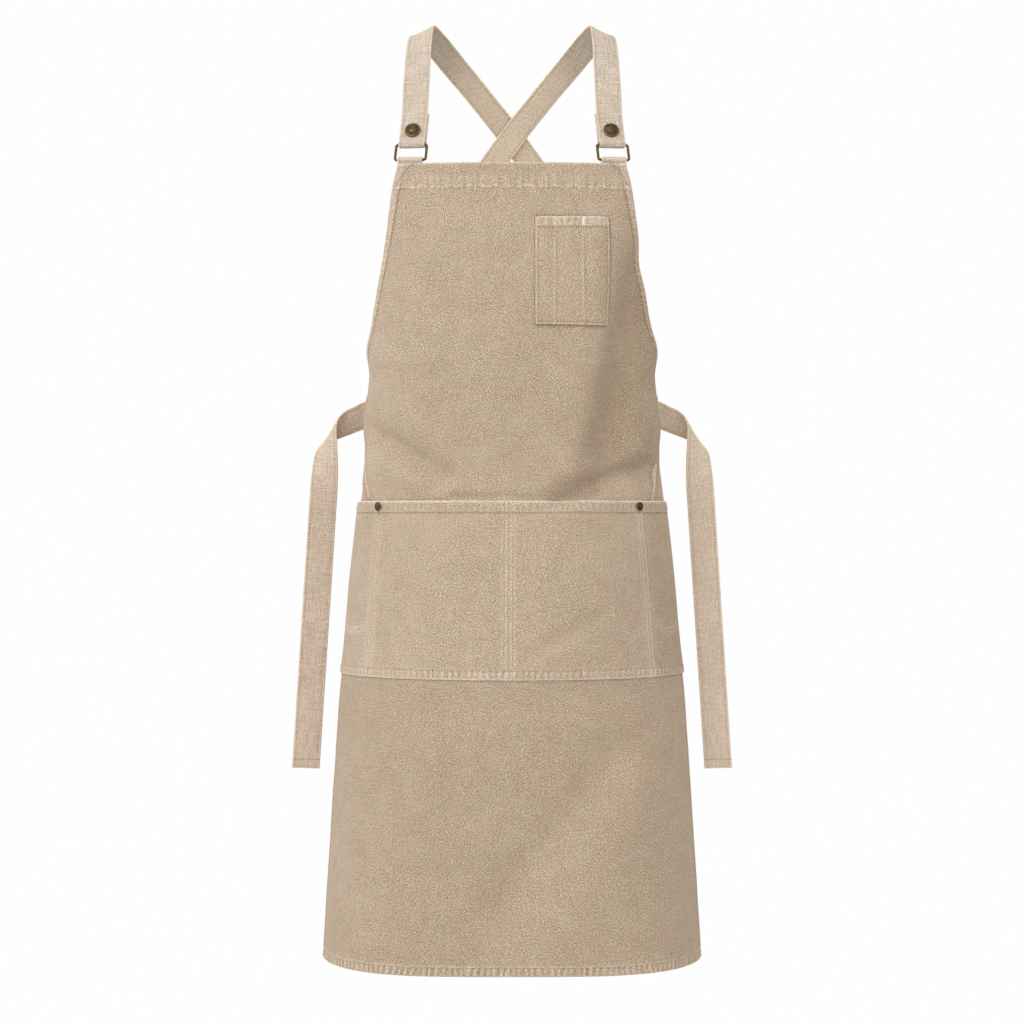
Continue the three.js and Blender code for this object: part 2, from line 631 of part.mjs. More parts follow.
// A snap: its cap on the strap's front layer and its stud behind the folded-back layer.
function addSnap(side, sideName) {
  const place = ringPlace(side);
  const middle = place.upper.clone().addScaledVector(place.lean, snapUp);
  const away = strapThick + seamGap / 2 + seamGap;
  const front = middle.clone().addScaledVector(place.face, away);
  const rear = middle.clone().addScaledVector(place.face, -away);
  addTurned("snap_cap_" + sideName, capProfile(snapRadius, snapHigh), front, place.face);
  addTurned("snap_stud_" + sideName, capProfile(studRadius, studHigh), rear, place.face.clone().negate());
}

// A tie's middle surface: along from its sewn end, across from its middle, upwards at that end.
// It leaves the side corner backwards, turns outwards, leans, rolls over a slanting line and
// hangs down in front.
function tiePoint(side, along, across) {
  const rootZ = below(cornerRow.down * apronTall + tieSlot);
  const edge = clothHalf(rootZ);
  const off = tieEase + tieThick / 2;
  if (along < 0) return clothFrame(side * (edge + along), rootZ + across, off).point;
  const root = clothFrame(side * edge, rootZ, off).point;
  const before = clothFrame(side * (edge - 1), rootZ, off).point;
  const startTurn = Math.atan2(root.y - before.y, side * (root.x - before.x));
  const curlLength = tieCurl * startTurn;
  const turn = Math.max(startTurn - along / tieCurl, 0);
  const turned = 1 - turn / startTurn;
  const leant = tieLean * radians * smooth((turned - tieUpright) / (1 - tieUpright));
  const drooped = tieDroop * radians * turned ** 2;
  const curl = vector(
    side * tieCurl * (Math.sin(startTurn) - Math.sin(turn)),
    tieCurl * (Math.cos(turn) - Math.cos(startTurn)),
    (-drooped * curlLength * turned) / 3,
  );
  const centre = root.add(curl);
  const facing = vector(side * Math.sin(turn), -Math.cos(turn), 0);
  const level = vector(side * Math.cos(turn), Math.sin(turn), 0);
  const upright = up.clone().multiplyScalar(Math.cos(leant)).addScaledVector(facing, Math.sin(leant));
  const rise = upright.clone().multiplyScalar(Math.cos(drooped)).addScaledVector(level, Math.sin(drooped));
  if (along < curlLength) return centre.addScaledVector(rise, across);

  // The flat stretch and the roll, in directions out, rise and face.
  const out = level.multiplyScalar(Math.cos(drooped)).addScaledVector(upright, -Math.sin(drooped));
  const face = facing.multiplyScalar(Math.cos(leant)).addScaledVector(up, -Math.sin(leant));
  const past = along - curlLength - tieOut;
  const middle = centre.addScaledVector(out, tieOut);
  const hang = vector(side * Math.sin(tieSplay * radians), 0, -Math.cos(tieSplay * radians));
  const slant = Math.atan2(-hang.dot(rise), 1 - hang.dot(out));
  const towards = out.clone().multiplyScalar(Math.cos(slant)).addScaledVector(rise, Math.sin(slant));
  const line = rise.clone().multiplyScalar(Math.cos(slant)).addScaledVector(out, -Math.sin(slant));
  const full = Math.atan2(hang.dot(face) / Math.cos(slant), 1 - (1 - hang.dot(out)) / Math.cos(slant) ** 2);
  const rolled = (p, w) => {
    const beyond = p * Math.cos(slant) + w * Math.sin(slant);
    const beside = w * Math.cos(slant) - p * Math.sin(slant);
    const angle = THREE.MathUtils.clamp(beyond / rollRadius, 0, full);
    const straight = Math.min(beyond, 0) + Math.max(beyond - full * rollRadius, 0) * Math.cos(angle);
    const ahead = Math.max(beyond - full * rollRadius, 0) * Math.sin(angle);
    return middle
      .clone()
      .addScaledVector(line, beside)
      .addScaledVector(towards, rollRadius * Math.sin(angle) + straight)
      .addScaledVector(face, rollRadius * (1 - Math.cos(angle)) + ahead);
  };
  const spine = rolled(past, 0);
  const untwist = -side * tieUntwist * radians * smooth(past / tieUntwistOver);
  return rolled(past, across).sub(spine).applyAxisAngle(up, untwist).add(spine);
}

function addTie(name, side) {
  const total = tieHang + tieOut + tieCurl * tieCurlTurn * radians;
  const fine = Math.round((tieFineLength - tieSewn) / tieFineStep);
  const coarse = Math.round((total - tieFineLength) / tieCoarseStep);
  const places = [
    -tieSewn,
    -tieSewn / 2,
    ...between(0, tieFineLength, fine),
    tieFineLength,
    ...between(tieFineLength, total, coarse),
    total,
  ];
  const columns = Array.from({ length: tieColumns + 1 }, (_, j) => (j / tieColumns - 0.5) * tieWide);
  const grid = places.map((along) => columns.map((across) => tiePoint(side, along, across)));
  addMesh(name, strip(grid, tieThick), webbing);
}

addApronBody();
addWaistPocket();
addChestPocket();
addRivet("rivet_left", -dividerLeft);
addRivet("rivet_right", dividerRight);
for (const [sideName, side] of Object.entries({ left: -1, right: 1 })) {
  addTab("tab_" + sideName, side);
  addRing("ring_" + sideName, side);
  addStrap("strap_" + sideName, side);
  addSnap(side, sideName);
  addTie("tie_" + sideName, side);
}

export default apron;
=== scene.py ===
"""A cross back apron of washed canvas in its worn shape: cloth, pockets, straps, ties and brass.

Shapes are worked out in millimetres and become metres when a mesh is made.
"""

import math

import bpy
import numpy as np
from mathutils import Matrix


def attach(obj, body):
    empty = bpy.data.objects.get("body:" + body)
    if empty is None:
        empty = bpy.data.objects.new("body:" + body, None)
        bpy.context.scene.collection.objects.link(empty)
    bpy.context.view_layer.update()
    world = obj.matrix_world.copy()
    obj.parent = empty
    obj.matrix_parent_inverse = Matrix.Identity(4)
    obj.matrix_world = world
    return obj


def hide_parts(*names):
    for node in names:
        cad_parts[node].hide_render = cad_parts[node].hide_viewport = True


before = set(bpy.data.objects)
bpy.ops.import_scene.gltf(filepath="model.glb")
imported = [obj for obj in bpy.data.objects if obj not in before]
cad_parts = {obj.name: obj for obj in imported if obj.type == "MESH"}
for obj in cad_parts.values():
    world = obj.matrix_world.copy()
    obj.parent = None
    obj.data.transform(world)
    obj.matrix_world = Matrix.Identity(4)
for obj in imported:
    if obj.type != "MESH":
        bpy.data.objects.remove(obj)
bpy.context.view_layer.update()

# Cloth
CLOTH_THICK = 1.5
HEM_THICK = 2.8
SEAM_GAP = 0.3

# Bib and skirt
APRON_TALL = 833
HEM_HALF = 202
SIDE_DEEP = 130
WAIST_HOLLOW = 20
FRONT_AHEAD = 120
BIB_DROP = 151
FOLD_WIDE = 30
FOLD_HIGH = 6

# Waist pocket
POCKET_DROP = 346.5
POCKET_TALL = 184
POCKET_FLAT = 0.7
DIVIDERS = (-0.705, -0.015, 0.66)
RIVET_DROP = 6

# Chest pocket
CHEST_DROP = 56
CHEST_TALL = 110.5
CHEST_WIDE = 74.5
CHEST_INNER = 24
CHEST_SEAMS = (0, 0.285, 0.665, 1)

# Straps, tabs, rings, snaps and rivets
STRAP_WIDE = 27.5
STRAP_THICK = 2
SHOULDER_HALF = 94.7
CROSS_DROP = 95
CROSS_BACK = 123
STRAP_TAIL = 40
TAB_WIDE = 26
TAB_THICK = 1.6
TAB_PAST = 0.8
TAB_FACING = 0.5
TAB_EASE = 0.6
TAB_HIDDEN = 20
STRAP_SEWN = 26
STRAP_SEWN_IN = 8
STRAP_SEWN_DROP = 2
STRAPS_APART = 6
STRAP_EASE = 1.2
STRAP_SLANT = 36
WIRE_RADIUS = 1.4
RING_INNER_WIDE = STRAP_WIDE + 1.8
RING_TALL = 19.2
RING_CORNER = 2.4
RING_LEAN = 29
SNAP_RADIUS = 8
SNAP_HIGH = 3
SNAP_UP = 16.5
STUD_RADIUS = 6
STUD_HIGH = 2.2
RIVET_RADIUS = 4.7
RIVET_HIGH = 2.2
RIVET_EASE = 0.3
LOOP_SPREAD = 1.8
LOOP_PAST = 20

# Ties
TIE_WIDE = 30
TIE_THICK = 2
TIE_SEWN = 24
TIE_EASE = 0.9
TIE_CURL = 18
TIE_CURL_TURN = 112
TIE_OUT = 21.5
ROLL_RADIUS = 9
TIE_LEAN = 33
TIE_UPRIGHT = 0.2
TIE_DROOP = 24
TIE_SPLAY = 3.7
TIE_HANG = 383
TIE_SLOT = 10.5
TIE_UNTWIST = 58
TIE_UNTWIST_OVER = 105

# The worn shape, a row for each height: shares of the sizes above, degrees, and how boxy it is.
SECTION_COLUMNS = ("down", "half", "side", "hollow", "wrap", "square")
SECTIONS = [
    (0, 0.583, 0.125, 0.4, 40, 2.3),
    (0.03, 0.614, 0.165, 0.35, 47, 2.3),
    (0.0755, 0.642, 0.255, 0.2, 57, 2.4),
    (0.1155, 0.667, 0.346, 0.1, 65, 2.5),
    (0.1474, 0.693, 0.423, 0.05, 66, 2.4),
    (0.197, 0.732, 0.569, 0.05, 70, 2.3),
    (0.227, 0.76, 0.685, 0.15, 80, 2.2),
    (0.2532, 0.747, 0.723, 0.3, 95, 2.2),
    (0.2887, 0.761, 0.708, 0.55, 108, 2.2),
    (0.3253, 0.778, 0.692, 0.8, 112, 2.2),
    (0.3519, 0.772, 0.692, 0.95, 100, 2.2),
    (0.3934, 0.794, 0.746, 1, 90, 2.2),
    (0.4149, 0.801, 0.785, 0.9, 88, 2.2),
    (0.5, 0.843, 0.938, 0.45, 86, 2.1),
    (0.5952, 0.881, 1.054, 0.15, 84, 2.1),
    (0.6573, 0.913, 1.108, 0.05, 83, 2.2),
    (0.6984, 0.925, 1.1, 0, 82, 2.4),
    (0.9031, 0.977, 1.038, 0, 82, 3.2),
    (1, 1, 1, 0, 80, 3.6),
]
CORNER_DOWN = 0.2887

# Drag lines and soft folds: two ends, width and height as shares of the sizes above.
FOLDS = [
    (-0.85, 0.326, -0.34, 0.38, 0.35, -0.75),
    (0.24, 0.408, 0.8, 0.378, 0.45, -1),
    (0.47, 0.1, 0.3, 0.37, 1.1, 0.85),
    (0.72, 0.2, 0.5, 0.36, 0.9, -0.9),
    (-0.4, 0.1, -0.5, 0.27, 0.8, 0.35),
    (0.08, 0.608, 0.45, 0.56, 0.35, -0.55),
    (0.52, 0.73, -0.06, 0.92, 1, -1),
    (0.72, 0.76, 0.3, 0.94, 1, 0.6),
    (-1, 0.372, -1, 0.412, 0.25, -0.6),
    (0.99, 0.372, 0.98, 0.412, 0.25, -0.6),
]

# The same kind of rows: sharper creases that only the finished cloth has.
CREASES = [
    (-0.74, 0.318, -0.46, 0.362, 0.5, -0.4),
    (-0.72, 0.337, -0.36, 0.387, 0.3, -0.8),
    (-0.68, 0.374, -0.5, 0.395, 0.4, 0.45),
    (0.3, 0.408, 0.8, 0.374, 0.35, -0.7),
    (0.22, 0.416, 0.44, 0.4, 0.27, -0.8),
    (0.42, 0.376, 0.76, 0.348, 0.35, 0.3),
    (-0.3, 0.411, 0.16, 0.413, 0.15, -0.5),
    (0.47, 0.1, 0.3, 0.37, 0.9, 0.4),
    (0.68, 0.13, 0.5, 0.36, 0.75, -1),
    (0.05, 0.08, 0.12, 0.2, 0.6, -0.2),
    (0.08, 0.608, 0.45, 0.56, 0.6, 0.2),
    (0.5, 0.74, -0.08, 0.91, 0.6, -0.4),
]

# Pale lines rubbed into the side folds above the waist pocket, with painted shade beside them in the crease:
# the two ends of each.
RUBBED = [(-0.925, 0.362, -0.845, 0.411), (0.88, 0.371, 0.817, 0.415)]

# The straps' course: the legs' ends, then a row for each place on a leg, with its shares of the way out,
# back and up, and the direction of the strap's width there.
STRAP_LEGS = {"front": ("ring", "crest"), "back": ("crest", "cross"), "side": ("cross", "corner")}
STRAP_ROWS = [
    ("front", 0.37, 0.4, 0.48, -0.98, 0.1, 0.12),
    ("front", 0.48, 0.56, 0.66, -0.96, 0.05, 0.25),
    ("front", 0.62, 0.76, 0.87, -0.93, 0, 0.36),
    ("front", 1, 1, 1, -0.9, 0, 0.43),
    ("back", 0.122, 0.187, 0.075, -0.86, -0.12, 0.5),
    ("back", 0.348, 0.447, 0.298, -0.78, -0.3, 0.58),
    ("back", 0.63, 0.715, 0.587, -0.74, -0.42, 0.58),
    ("back", 1, 1, 1, -0.78, -0.3, 0.6),
    ("side", 0.207, -0.096, 0.138, -0.83, -0.1, 0.56),
    ("side", 0.414, -0.133, 0.308, -0.87, 0.02, 0.48),
    ("side", 0.6, -0.084, 0.53, -0.88, -0.15, 0.45),
    ("side", 0.74, 0.17, 0.74, -0.72, -0.4, 0.57),
    ("side", 0.86, 0.6, 0.89, -0.45, -0.55, 0.7),
]

UP = np.array([0.0, 0.0, 1.0])


def below(drop):
    """Height of a point this far below the bib top."""
    return -BIB_DROP - drop


def unit(v):
    """v at length 1, along its last axis."""
    v = np.asarray(v, float)
    return v / np.maximum(np.linalg.norm(v, axis=-1, keepdims=True), 1e-12)


def smooth(x):
    """From 0 to 1 with level ends."""
    x = np.clip(x, 0, 1)
    return x * x * (3 - 2 * x)


def turned(v, axis, angle):
    """v turned about a unit axis."""
    c, s = np.cos(angle), np.sin(angle)
    return v * c + np.cross(axis, v) * s + axis * np.dot(axis, v) * (1 - c)


# The worn cloth's surface


def column(key, down):
    """A smooth curve through one column of the sections."""
    table = np.array(SECTIONS, float)
    at = table[:, 0]
    values = table[:, SECTION_COLUMNS.index(key)]
    last = len(table) - 1
    i = np.clip(np.searchsorted(at, down, side="right") - 1, 0, last - 1)
    before = np.maximum(i - 1, 0)
    after = np.minimum(i + 2, last)
    step = at[i + 1] - at[i]
    s = np.clip((down - at[i]) / step, 0, 1)
    slope0 = (values[i + 1] - values[before]) / (at[i + 1] - at[before]) * step
    slope1 = (values[after] - values[i]) / (at[after] - at[i]) * step
    two, three = s * s, s * s * s
    return (
        values[i] * (2 * three - 3 * two + 1)
        + slope0 * (three - 2 * two + s)
        + values[i + 1] * (3 * two - 2 * three)
        + slope1 * (three - two)
    )


TABLE_STEPS = 240
TABLE_PAST = 6  # how far the table goes past the hem and the bib's top
TABLE_LOW = below(APRON_TALL) - TABLE_PAST
ARC_STEPS = 96


def section_table():
    """x and y over height (1 mm steps) and share of the way from centre line to edge."""
    z = np.arange(TABLE_LOW, below(0) + TABLE_PAST + 1.0)
    down = (-BIB_DROP - z) / APRON_TALL
    wrap = np.radians(column("wrap", down))
    square = column("square", down)
    widest = np.minimum(wrap, np.pi / 2)
    half = column("half", down) * HEM_HALF / np.sin(widest) ** (2 / square)
    deep = column("side", down) * SIDE_DEEP / (1 - np.cos(widest))
    front = column("hollow", down) * WAIST_HOLLOW - FRONT_AHEAD
    share = np.arange(ARC_STEPS + 1)[None, :] / ARC_STEPS
    turn = wrap[:, None] * share ** (square[:, None] / 2)
    x = half[:, None] * np.sin(turn) ** (2 / square[:, None])
    y = front[:, None] + deep[:, None] * (1 - np.cos(turn))
    along = np.cumsum(np.hypot(np.diff(x, axis=1), np.diff(y, axis=1)), axis=1)
    along = np.concatenate([np.zeros((len(z), 1)), along], axis=1)
    shares = np.linspace(0, 1, TABLE_STEPS + 1)
    xs = np.array([np.interp(shares * a[-1], a, v) for a, v in zip(along, x)])
    ys = np.array([np.interp(shares * a[-1], a, v) for a, v in zip(along, y)])
    return xs, ys, along[:, -1]


TABLE_X, TABLE_Y, TABLE_HALF = section_table()


def cloth_half(z):
    """Half the cloth's width at height z, along the cloth."""
    return np.interp(z, TABLE_LOW + np.arange(len(TABLE_HALF)), TABLE_HALF)


def plain_surface(across, z):
    """The worn cloth without folds; across is measured along the cloth from its middle."""
    across, z = np.broadcast_arrays(np.asarray(across, float), np.asarray(z, float))
    row = np.clip(z - TABLE_LOW, 0, len(TABLE_HALF) - 1.001)
    i = row.astype(int)
    fi = row - i
    share = np.abs(across) / cloth_half(z) * TABLE_STEPS
    j = np.clip(share.astype(int), 0, TABLE_STEPS - 1)
    fj = share - j

    def look(table):
        low = table[i, j] * (1 - fj) + table[i, j + 1] * fj
        high = table[i + 1, j] * (1 - fj) + table[i + 1, j + 1] * fj
        return low * (1 - fi) + high * fi

    return np.stack([np.sign(across) * look(TABLE_X), look(TABLE_Y), z], axis=-1)


def normal_of(surface, across, z):
    """A surface's outward normal."""
    step = 2
    side = surface(across + step, z) - surface(across - step, z)
    rise = surface(across, z + step) - surface(across, z - step)
    return unit(np.cross(side, rise))


def from_line(across, z, a0, d0, a1, d1):
    """Distance on the cloth to a line between two ends, given as shares of the sizes above."""
    down = -BIB_DROP - z
    start = np.array([a0 * HEM_HALF, d0 * APRON_TALL])
    run = np.array([a1 * HEM_HALF, d1 * APRON_TALL]) - start
    x, y = across - start[0], down - start[1]
    share = np.clip((x * run[0] + y * run[1]) / run.dot(run), 0, 1)
    return np.hypot(x - share * run[0], y - share * run[1])


def fold_lift(across, z, folds):
    """How far rows of folds lift the cloth."""
    lift = 0
    for a0, d0, a1, d1, wide, high in folds:
        away = from_line(across, z, a0, d0, a1, d1) / (wide * FOLD_WIDE)
        lift = lift + high * FOLD_HIGH * np.exp(-away * away)
    return lift


def cloth_face(across, z):
    """The cloth's outer face, folds and creases included."""
    lift = fold_lift(across, z, FOLDS + CREASES)
    return plain_surface(across, z) + normal_of(plain_surface, across, z) * lift[..., None]


LEVEL_OVER = 32  # how far from the waist pocket's mouth its layers still stand off level
LEVELLED = 0.9


def cloth_frame(across, z, off=0):
    """Points off the outer face, and the normals there, near level at the waist pocket's mouth."""
    across, z = np.broadcast_arrays(np.asarray(across, float), np.asarray(z, float))
    normal = normal_of(cloth_face, across, z)
    level = np.exp(-(((z - below(POCKET_DROP)) / LEVEL_OVER) ** 2))
    normal = unit(normal * np.stack([np.ones_like(z), np.ones_like(z), 1 - LEVELLED * level], axis=-1))
    return cloth_face(across, z) + normal * np.asarray(off)[..., None], normal


# Meshes


def grid_faces(rows, columns, start, flip):
    """The faces between the points of a grid."""
    i, j = np.meshgrid(np.arange(rows - 1), np.arange(columns - 1), indexing="ij")
    a = start + i * columns + j
    corners = np.stack([a, a + 1, a + columns + 1, a + columns], axis=-1).reshape(-1, 4)
    return corners[:, ::-1] if flip else corners


class Patchwork:
    """Grids of points, each with flat cloth coordinates and named values, that become one mesh."""

    VALUES = ("pucker", "along", "wear")

    def __init__(self, name):
        self.name = name
        self.points, self.flat, self.faces = [], [], []
        self.values = {key: [] for key in self.VALUES}
        self.count = 0

    def add(self, points, flat=None, flip=False, close=False, **values):
        rows, columns = points.shape[:2]
        if flat is None:
            flat = points[..., [0, 2]]
        self.points.append(points.reshape(-1, 3))
        self.flat.append(np.broadcast_to(flat, (rows, columns, 2)).reshape(-1, 2))
        for key in self.VALUES:
            self.values[key].append(np.broadcast_to(values.get(key, 0), (rows, columns)).ravel())
        self.faces.append(grid_faces(rows, columns, self.count, flip))
        if close:
            j = np.arange(columns - 1)
            a = self.count + (rows - 1) * columns + j
            b = self.count + j
            ring = np.stack([a, a + 1, b + 1, b], axis=-1)
            self.faces.append(ring[:, ::-1] if flip else ring)
        self.count += rows * columns

    def build(self, material, node=None):
        """The mesh as one piece, in place of a node if one is named."""
        points = np.concatenate(self.points) / 1000
        flat = np.concatenate(self.flat) / 1000
        faces = np.concatenate(self.faces)
        mesh = bpy.data.meshes.new(self.name)
        mesh.vertices.add(len(points))
        mesh.vertices.foreach_set("co", points.ravel())
        mesh.loops.add(faces.size)
        mesh.loops.foreach_set("vertex_index", faces.ravel().astype(np.int32))
        mesh.polygons.add(len(faces))
        mesh.polygons.foreach_set("loop_start", np.arange(0, faces.size, 4, dtype=np.int32))
        mesh.update(calc_edges=True)
        mesh.polygons.foreach_set("use_smooth", np.ones(len(faces), bool))
        layer = mesh.uv_layers.new(name="flat")
        layer.data.foreach_set("uv", flat[faces.ravel()].ravel())
        for key in self.VALUES:
            layer = mesh.attributes.new(key, "FLOAT", "POINT")
            layer.data.foreach_set("value", np.concatenate(self.values[key]).astype(np.float32))
        mesh.validate()
        mesh.materials.append(material)
        piece = put(self.name, mesh, (0, 0, 0))
        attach(piece, "root")
        if node:
            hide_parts(node)
        return piece


# Relief and tones shared by the cloth pieces

RNG = np.random.default_rng(7)
WAVES = [
    (2 * math.pi / RNG.uniform(26, 95), RNG.uniform(0, math.pi), RNG.uniform(0, 2 * math.pi))
    for _ in range(22)
]
UNDULATION = 0.22 / 60  # height of a wave for its length
UNEVEN = ((1, 0.3), (1.73, 2.1), (2.9, 4.4), (0.61, 1.2))  # rates and phases of an uneven tone


def undulation(across, z):
    """Soft unevenness of washed cloth, in millimetres."""
    total = 0
    for wave, heading, phase in WAVES:
        run = across * math.cos(heading) + z * math.sin(heading)
        total = total + np.sin(wave * run + phase) / wave
    return UNDULATION * total


def uneven(along, pitch, least):
    """An uneven tone between least and 1 along a seam; even where the pitch is 0."""
    if not pitch:
        return 1
    total = sum(np.sin(2 * math.pi * along / (pitch * rate) + phase) for rate, phase in UNEVEN)
    return least + (1 - least) * np.clip(0.5 + 0.3 * total, 0, 1)


def groove(away, wide=1.0):
    """A sewn line's dip, from 1 at the line to 0."""
    return np.exp(-((away / wide) ** 2))


def band(away, low, high, soft=1.2):
    """1 between low and high, 0 outside."""
    return smooth((away - low) / soft + 0.5) * smooth((high - away) / soft + 0.5)


def strip(away, low, high, soft, amount):
    """An amount between two distances from an edge."""
    return amount * band(away, low, high, soft)


def tones(away, along, rows):
    """Pale and dark lines beside an edge, a row each: place, width, amount, pitch and least."""
    total = 0
    for place, wide, amount, pitch, least in rows:
        total = total + amount * uneven(along, pitch, least) * groove(away - place, wide)
    return total


def edge_fall(away, radius, half):
    """How far a face falls back towards the middle of a wall's edge."""
    s = np.clip(1 - away / radius, 0, 1)
    return half * (1 - np.sqrt(np.clip(1 - s * s, 0, 1)))


def lines(*stops):
    """Places from one stop to the next: (place, step to the next) pairs, and a last place."""
    places = []
    for (start, step), after in zip(stops[:-1], stops[1:]):
        end = after[0] if isinstance(after, tuple) else after
        count = max(1, round(abs(end - start) / step))
        places.extend(np.linspace(start, end, count, endpoint=False))
    return np.array([*places, stops[-1]])


def seam_face(across, z, off=0):
    """The outer face with the cloth's soft unevenness, raised by off along the normal."""
    across, z = np.broadcast_arrays(np.asarray(across, float), np.asarray(z, float))
    point, normal = cloth_frame(across, z)
    return point + normal * (undulation(across, z) + off)[..., None]


def thinned(count, keep_low, keep_high):
    """Indices that keep both ends' fine lines and every second line between them."""
    middle = range(keep_low, count - keep_high, 2)
    return np.array([*range(keep_low), *middle, *range(count - keep_high, count)])


def clear_of_ends(d_low, d_high, low, high, soft):
    """1 where a side hem runs alone, 0 within the hems of the foot and the top."""
    return smooth((d_low - low) / soft) * smooth((d_high - high) / soft)


def hem_run(across, z, d_low, d_high, low, high):
    """Place along a hem: across in those of the foot and the top, height in a side's."""
    return np.where((d_low < low) | (d_high < high), across, z)


def cloth_piece(patchwork, across, z, front, rear, keep, pucker, along, wear):
    """Both faces of a cloth wall on the worn cloth; the rear face is coarser inside its hems."""
    flat = np.stack([across, z], axis=-1)
    patchwork.add(seam_face(across, z, front), flat, pucker=pucker, along=along, wear=wear)
    pick = np.ix_(thinned(across.shape[0], *keep[0]), thinned(across.shape[1], *keep[1]))
    patchwork.add(
        seam_face(across[pick], z[pick], rear[pick]),
        flat[pick],
        flip=True,
        pucker=pucker[pick] * REAR_PUCKER,
        along=along[pick],
        wear=wear[pick] * REAR_WEAR_AND_LIGHT,
    )


# Distances from an edge where the cloth has rows of points, close together in hems and at seams
HEM_LINES = [0, 0.3, 0.8, 1.5, 2.6, 4, 5.6, 7.2, 8.4, 9.0, 9.5, 10.0, 10.8, 12.2]
TOP_LINES = [0, 0.3, 0.8, 1.5, 3, 5.5, 8.5, 12, 15.5, 19, 21.5, 23, 23.7, 24.2, 24.7, 25.3, 26.2, 28, 31]
SEAM_LINES = np.array([-7, -5.4, -4.9, -4.5, -4.1, -3.6, -2.6, -1.3, 0, 1.3, 2.6, 3.6, 4.1, 4.5, 4.9, 5.4, 7])
MOUTH_LINES = [0, 0.3, 0.8, 1.5, 3, 5, 7.2, 9.2, 10.4, 11, 11.4, 11.8, 12.6, 14.5]
FOOT_LINES = [0, 0.3, 0.8, 1.3, 1.8, 2.4, 4, 6, 8, 9.2, 9.8, 10.2, 10.7, 11.5, 13.5]
PATCH_LINES = np.array([0, 0.3, 0.8, 1.4, 1.9, 2.4, 3.4, 5])
PATCH_MOUTH = np.array([0, 0.3, 0.8, 1.5, 3, 5, 7, 8.6, 9.4, 9.9, 10.3, 10.8, 11.8, 13.5])
PEN_LINES = np.array([-3, -1.6, -0.8, -0.4, 0, 0.4, 0.8, 1.6, 3])

# Sewn lines, from the edge they follow
STITCH_IN = 9.5
TOP_STITCH = 24.3
MOUTH_STITCH = 11.4
FOOT_STITCHES = (1.8, 10.2)
PATCH_STITCH = 1.9
PATCH_MOUTH_STITCH = 9.9
DOUBLE_APART = 4.5  # each line of a double seam, from its middle

# How deep each kind of sewn line is pressed in
DIPS = {"hem": 0.5, "top": 0.6, "corner": 0.55, "foot": 0.45, "divider": 0.4, "patch": 0.4, "pen": 0.35}

# How much of the front's puckers and tones the rear face has
REAR_PUCKER = 0.6
REAR_WEAR_AND_LIGHT = 0.5

# Strips along the body's edges, raised (puff) or rippled (pucker): from, to, softness and amount
SIDE_PUFF = (0.8, 8.9, 1.2, 0.35)
TOP_PUFF = (0.8, 23.6, 1.2, 0.3)
FOOT_PUCKER = (1, 9.4, 1.2, 1.25)
SIDE_PUCKER = (1, 8.8, 1.2, 0.45)
TOP_PUCKER = (12, 24, 8, 0.4)
UNDER_PUCKER = (25.5, 31, 3, 0.4)
SIDE_PALE = (2, 8.2, 1.2, 0.28)
FOOT_PALE = (1, 9, 1.2, 0.12)
TOP_FRAYED = (14, 23.4, 7, 0.28)
CREASED = (5, 90, 20, 1)  # where a pale crease runs in the top hem, left of the middle

# Lines beside an edge: place, width, amount (dark below 0), and pitch and least share of its unevenness
BODY_EDGE = [(0.4, 1.1, 0.55, 0, 1)]
BODY_FOOT = [(10.3, 0.7, 0.8, 6, 0.4), (8.9, 0.9, -0.3, 0, 1)]
BODY_TOP = [(24.2, 1.1, 1.3, 4.3, 0.1), (26.3, 1.0, -0.4, 31, 0.3)]
BODY_CREASE = [(15, 0.9, 0.3, 4.3, 0.1)]
BODY_CORNER = [(0, 0.9, -1.1, 0, 1)]
# The rubbed creases: a pale line of wear, and painted shade either side of it in the crease.
BODY_RUBBED_AND_CREASE_SHADE = [(0, 1.6, 0.7, 0, 1), (4, 2.5, -0.25, 0, 1)]
FRAYED = (4.3, 0.1)
WANDER = 0.7  # how far the top hem's line wanders

CORNER_FOLD = ((17.5, 0.0), (5.0, 22.0))  # both ends of the slanting fold, from the side and from the top
CORNER_BOW = 2.2
CORNER_STOP = 23  # how far down its sewn line shows
CORNER_FLAT = 0.35  # how far the cloth outside it lies back
SIDE_HEM, TOP_HEM, HEM_SOFT = 10.4, 25.4, 0.9
BODY_ROUND = 1.5
BODY_ENDS, BODY_LEVEL = (16, 36.5, 4), (13, 34)  # see clear_of_ends and hem_run
BODY_COLUMNS = 168

# Painted shade on the bib's right side: inner edge (place, lean, softness), foot (place, rise, softness),
# head
SIDE_SHADE_INNER = (129.475, -0.245, 24)
SIDE_SHADE_FOOT = (350.56, -0.22, 14)
SIDE_SHADE_HEAD = (45, 70)
SIDE_SHADE_AMOUNT = 0.26
# Painted shade on the skirt below the waist pocket, and more of it towards the left
SKIRT_PAINTED_SHADE, SKIRT_PAINTED_SHADE_LEFT = 0.09, 0.06

# Shade close to the chest pocket: edge, place outside it, width, amount, and start and stop past its ends
CHEST_SHADE = [
    ("right", 0.6, 1.4, 0.8, 1, 1.5),
    ("foot", 0.6, 1.4, 0.8, 1, 1.5),
    ("left", 0.5, 0.8, 0.48, 0, 0),
    ("top", 0.5, 0.8, 0.48, 0, 0),
]


def edge_columns(half, count):
    """Columns at height z: fine lines in both side hems, count even steps between them."""
    hem = np.array(HEM_LINES)
    inner = half - hem[-1]
    return np.concatenate([hem - half, np.linspace(-inner, inner, count + 1)[1:-1], (half - hem)[::-1]])


def bib_corner(d_side, d_top):
    """Distance to the slanting fold at a bib corner, and 1 outside it."""
    start, end = np.array(CORNER_FOLD)
    run = end - start
    x, y = d_side - start[0], d_top - start[1]
    share = np.clip((x * run[0] + y * run[1]) / run.dot(run), 0, 1)
    x = x + CORNER_BOW * np.sin(np.pi * share)
    away = np.hypot(x - share * run[0], y - share * run[1])
    outside = (x * run[1] - y * run[0]) > 0
    return away, outside & (d_top < end[1])


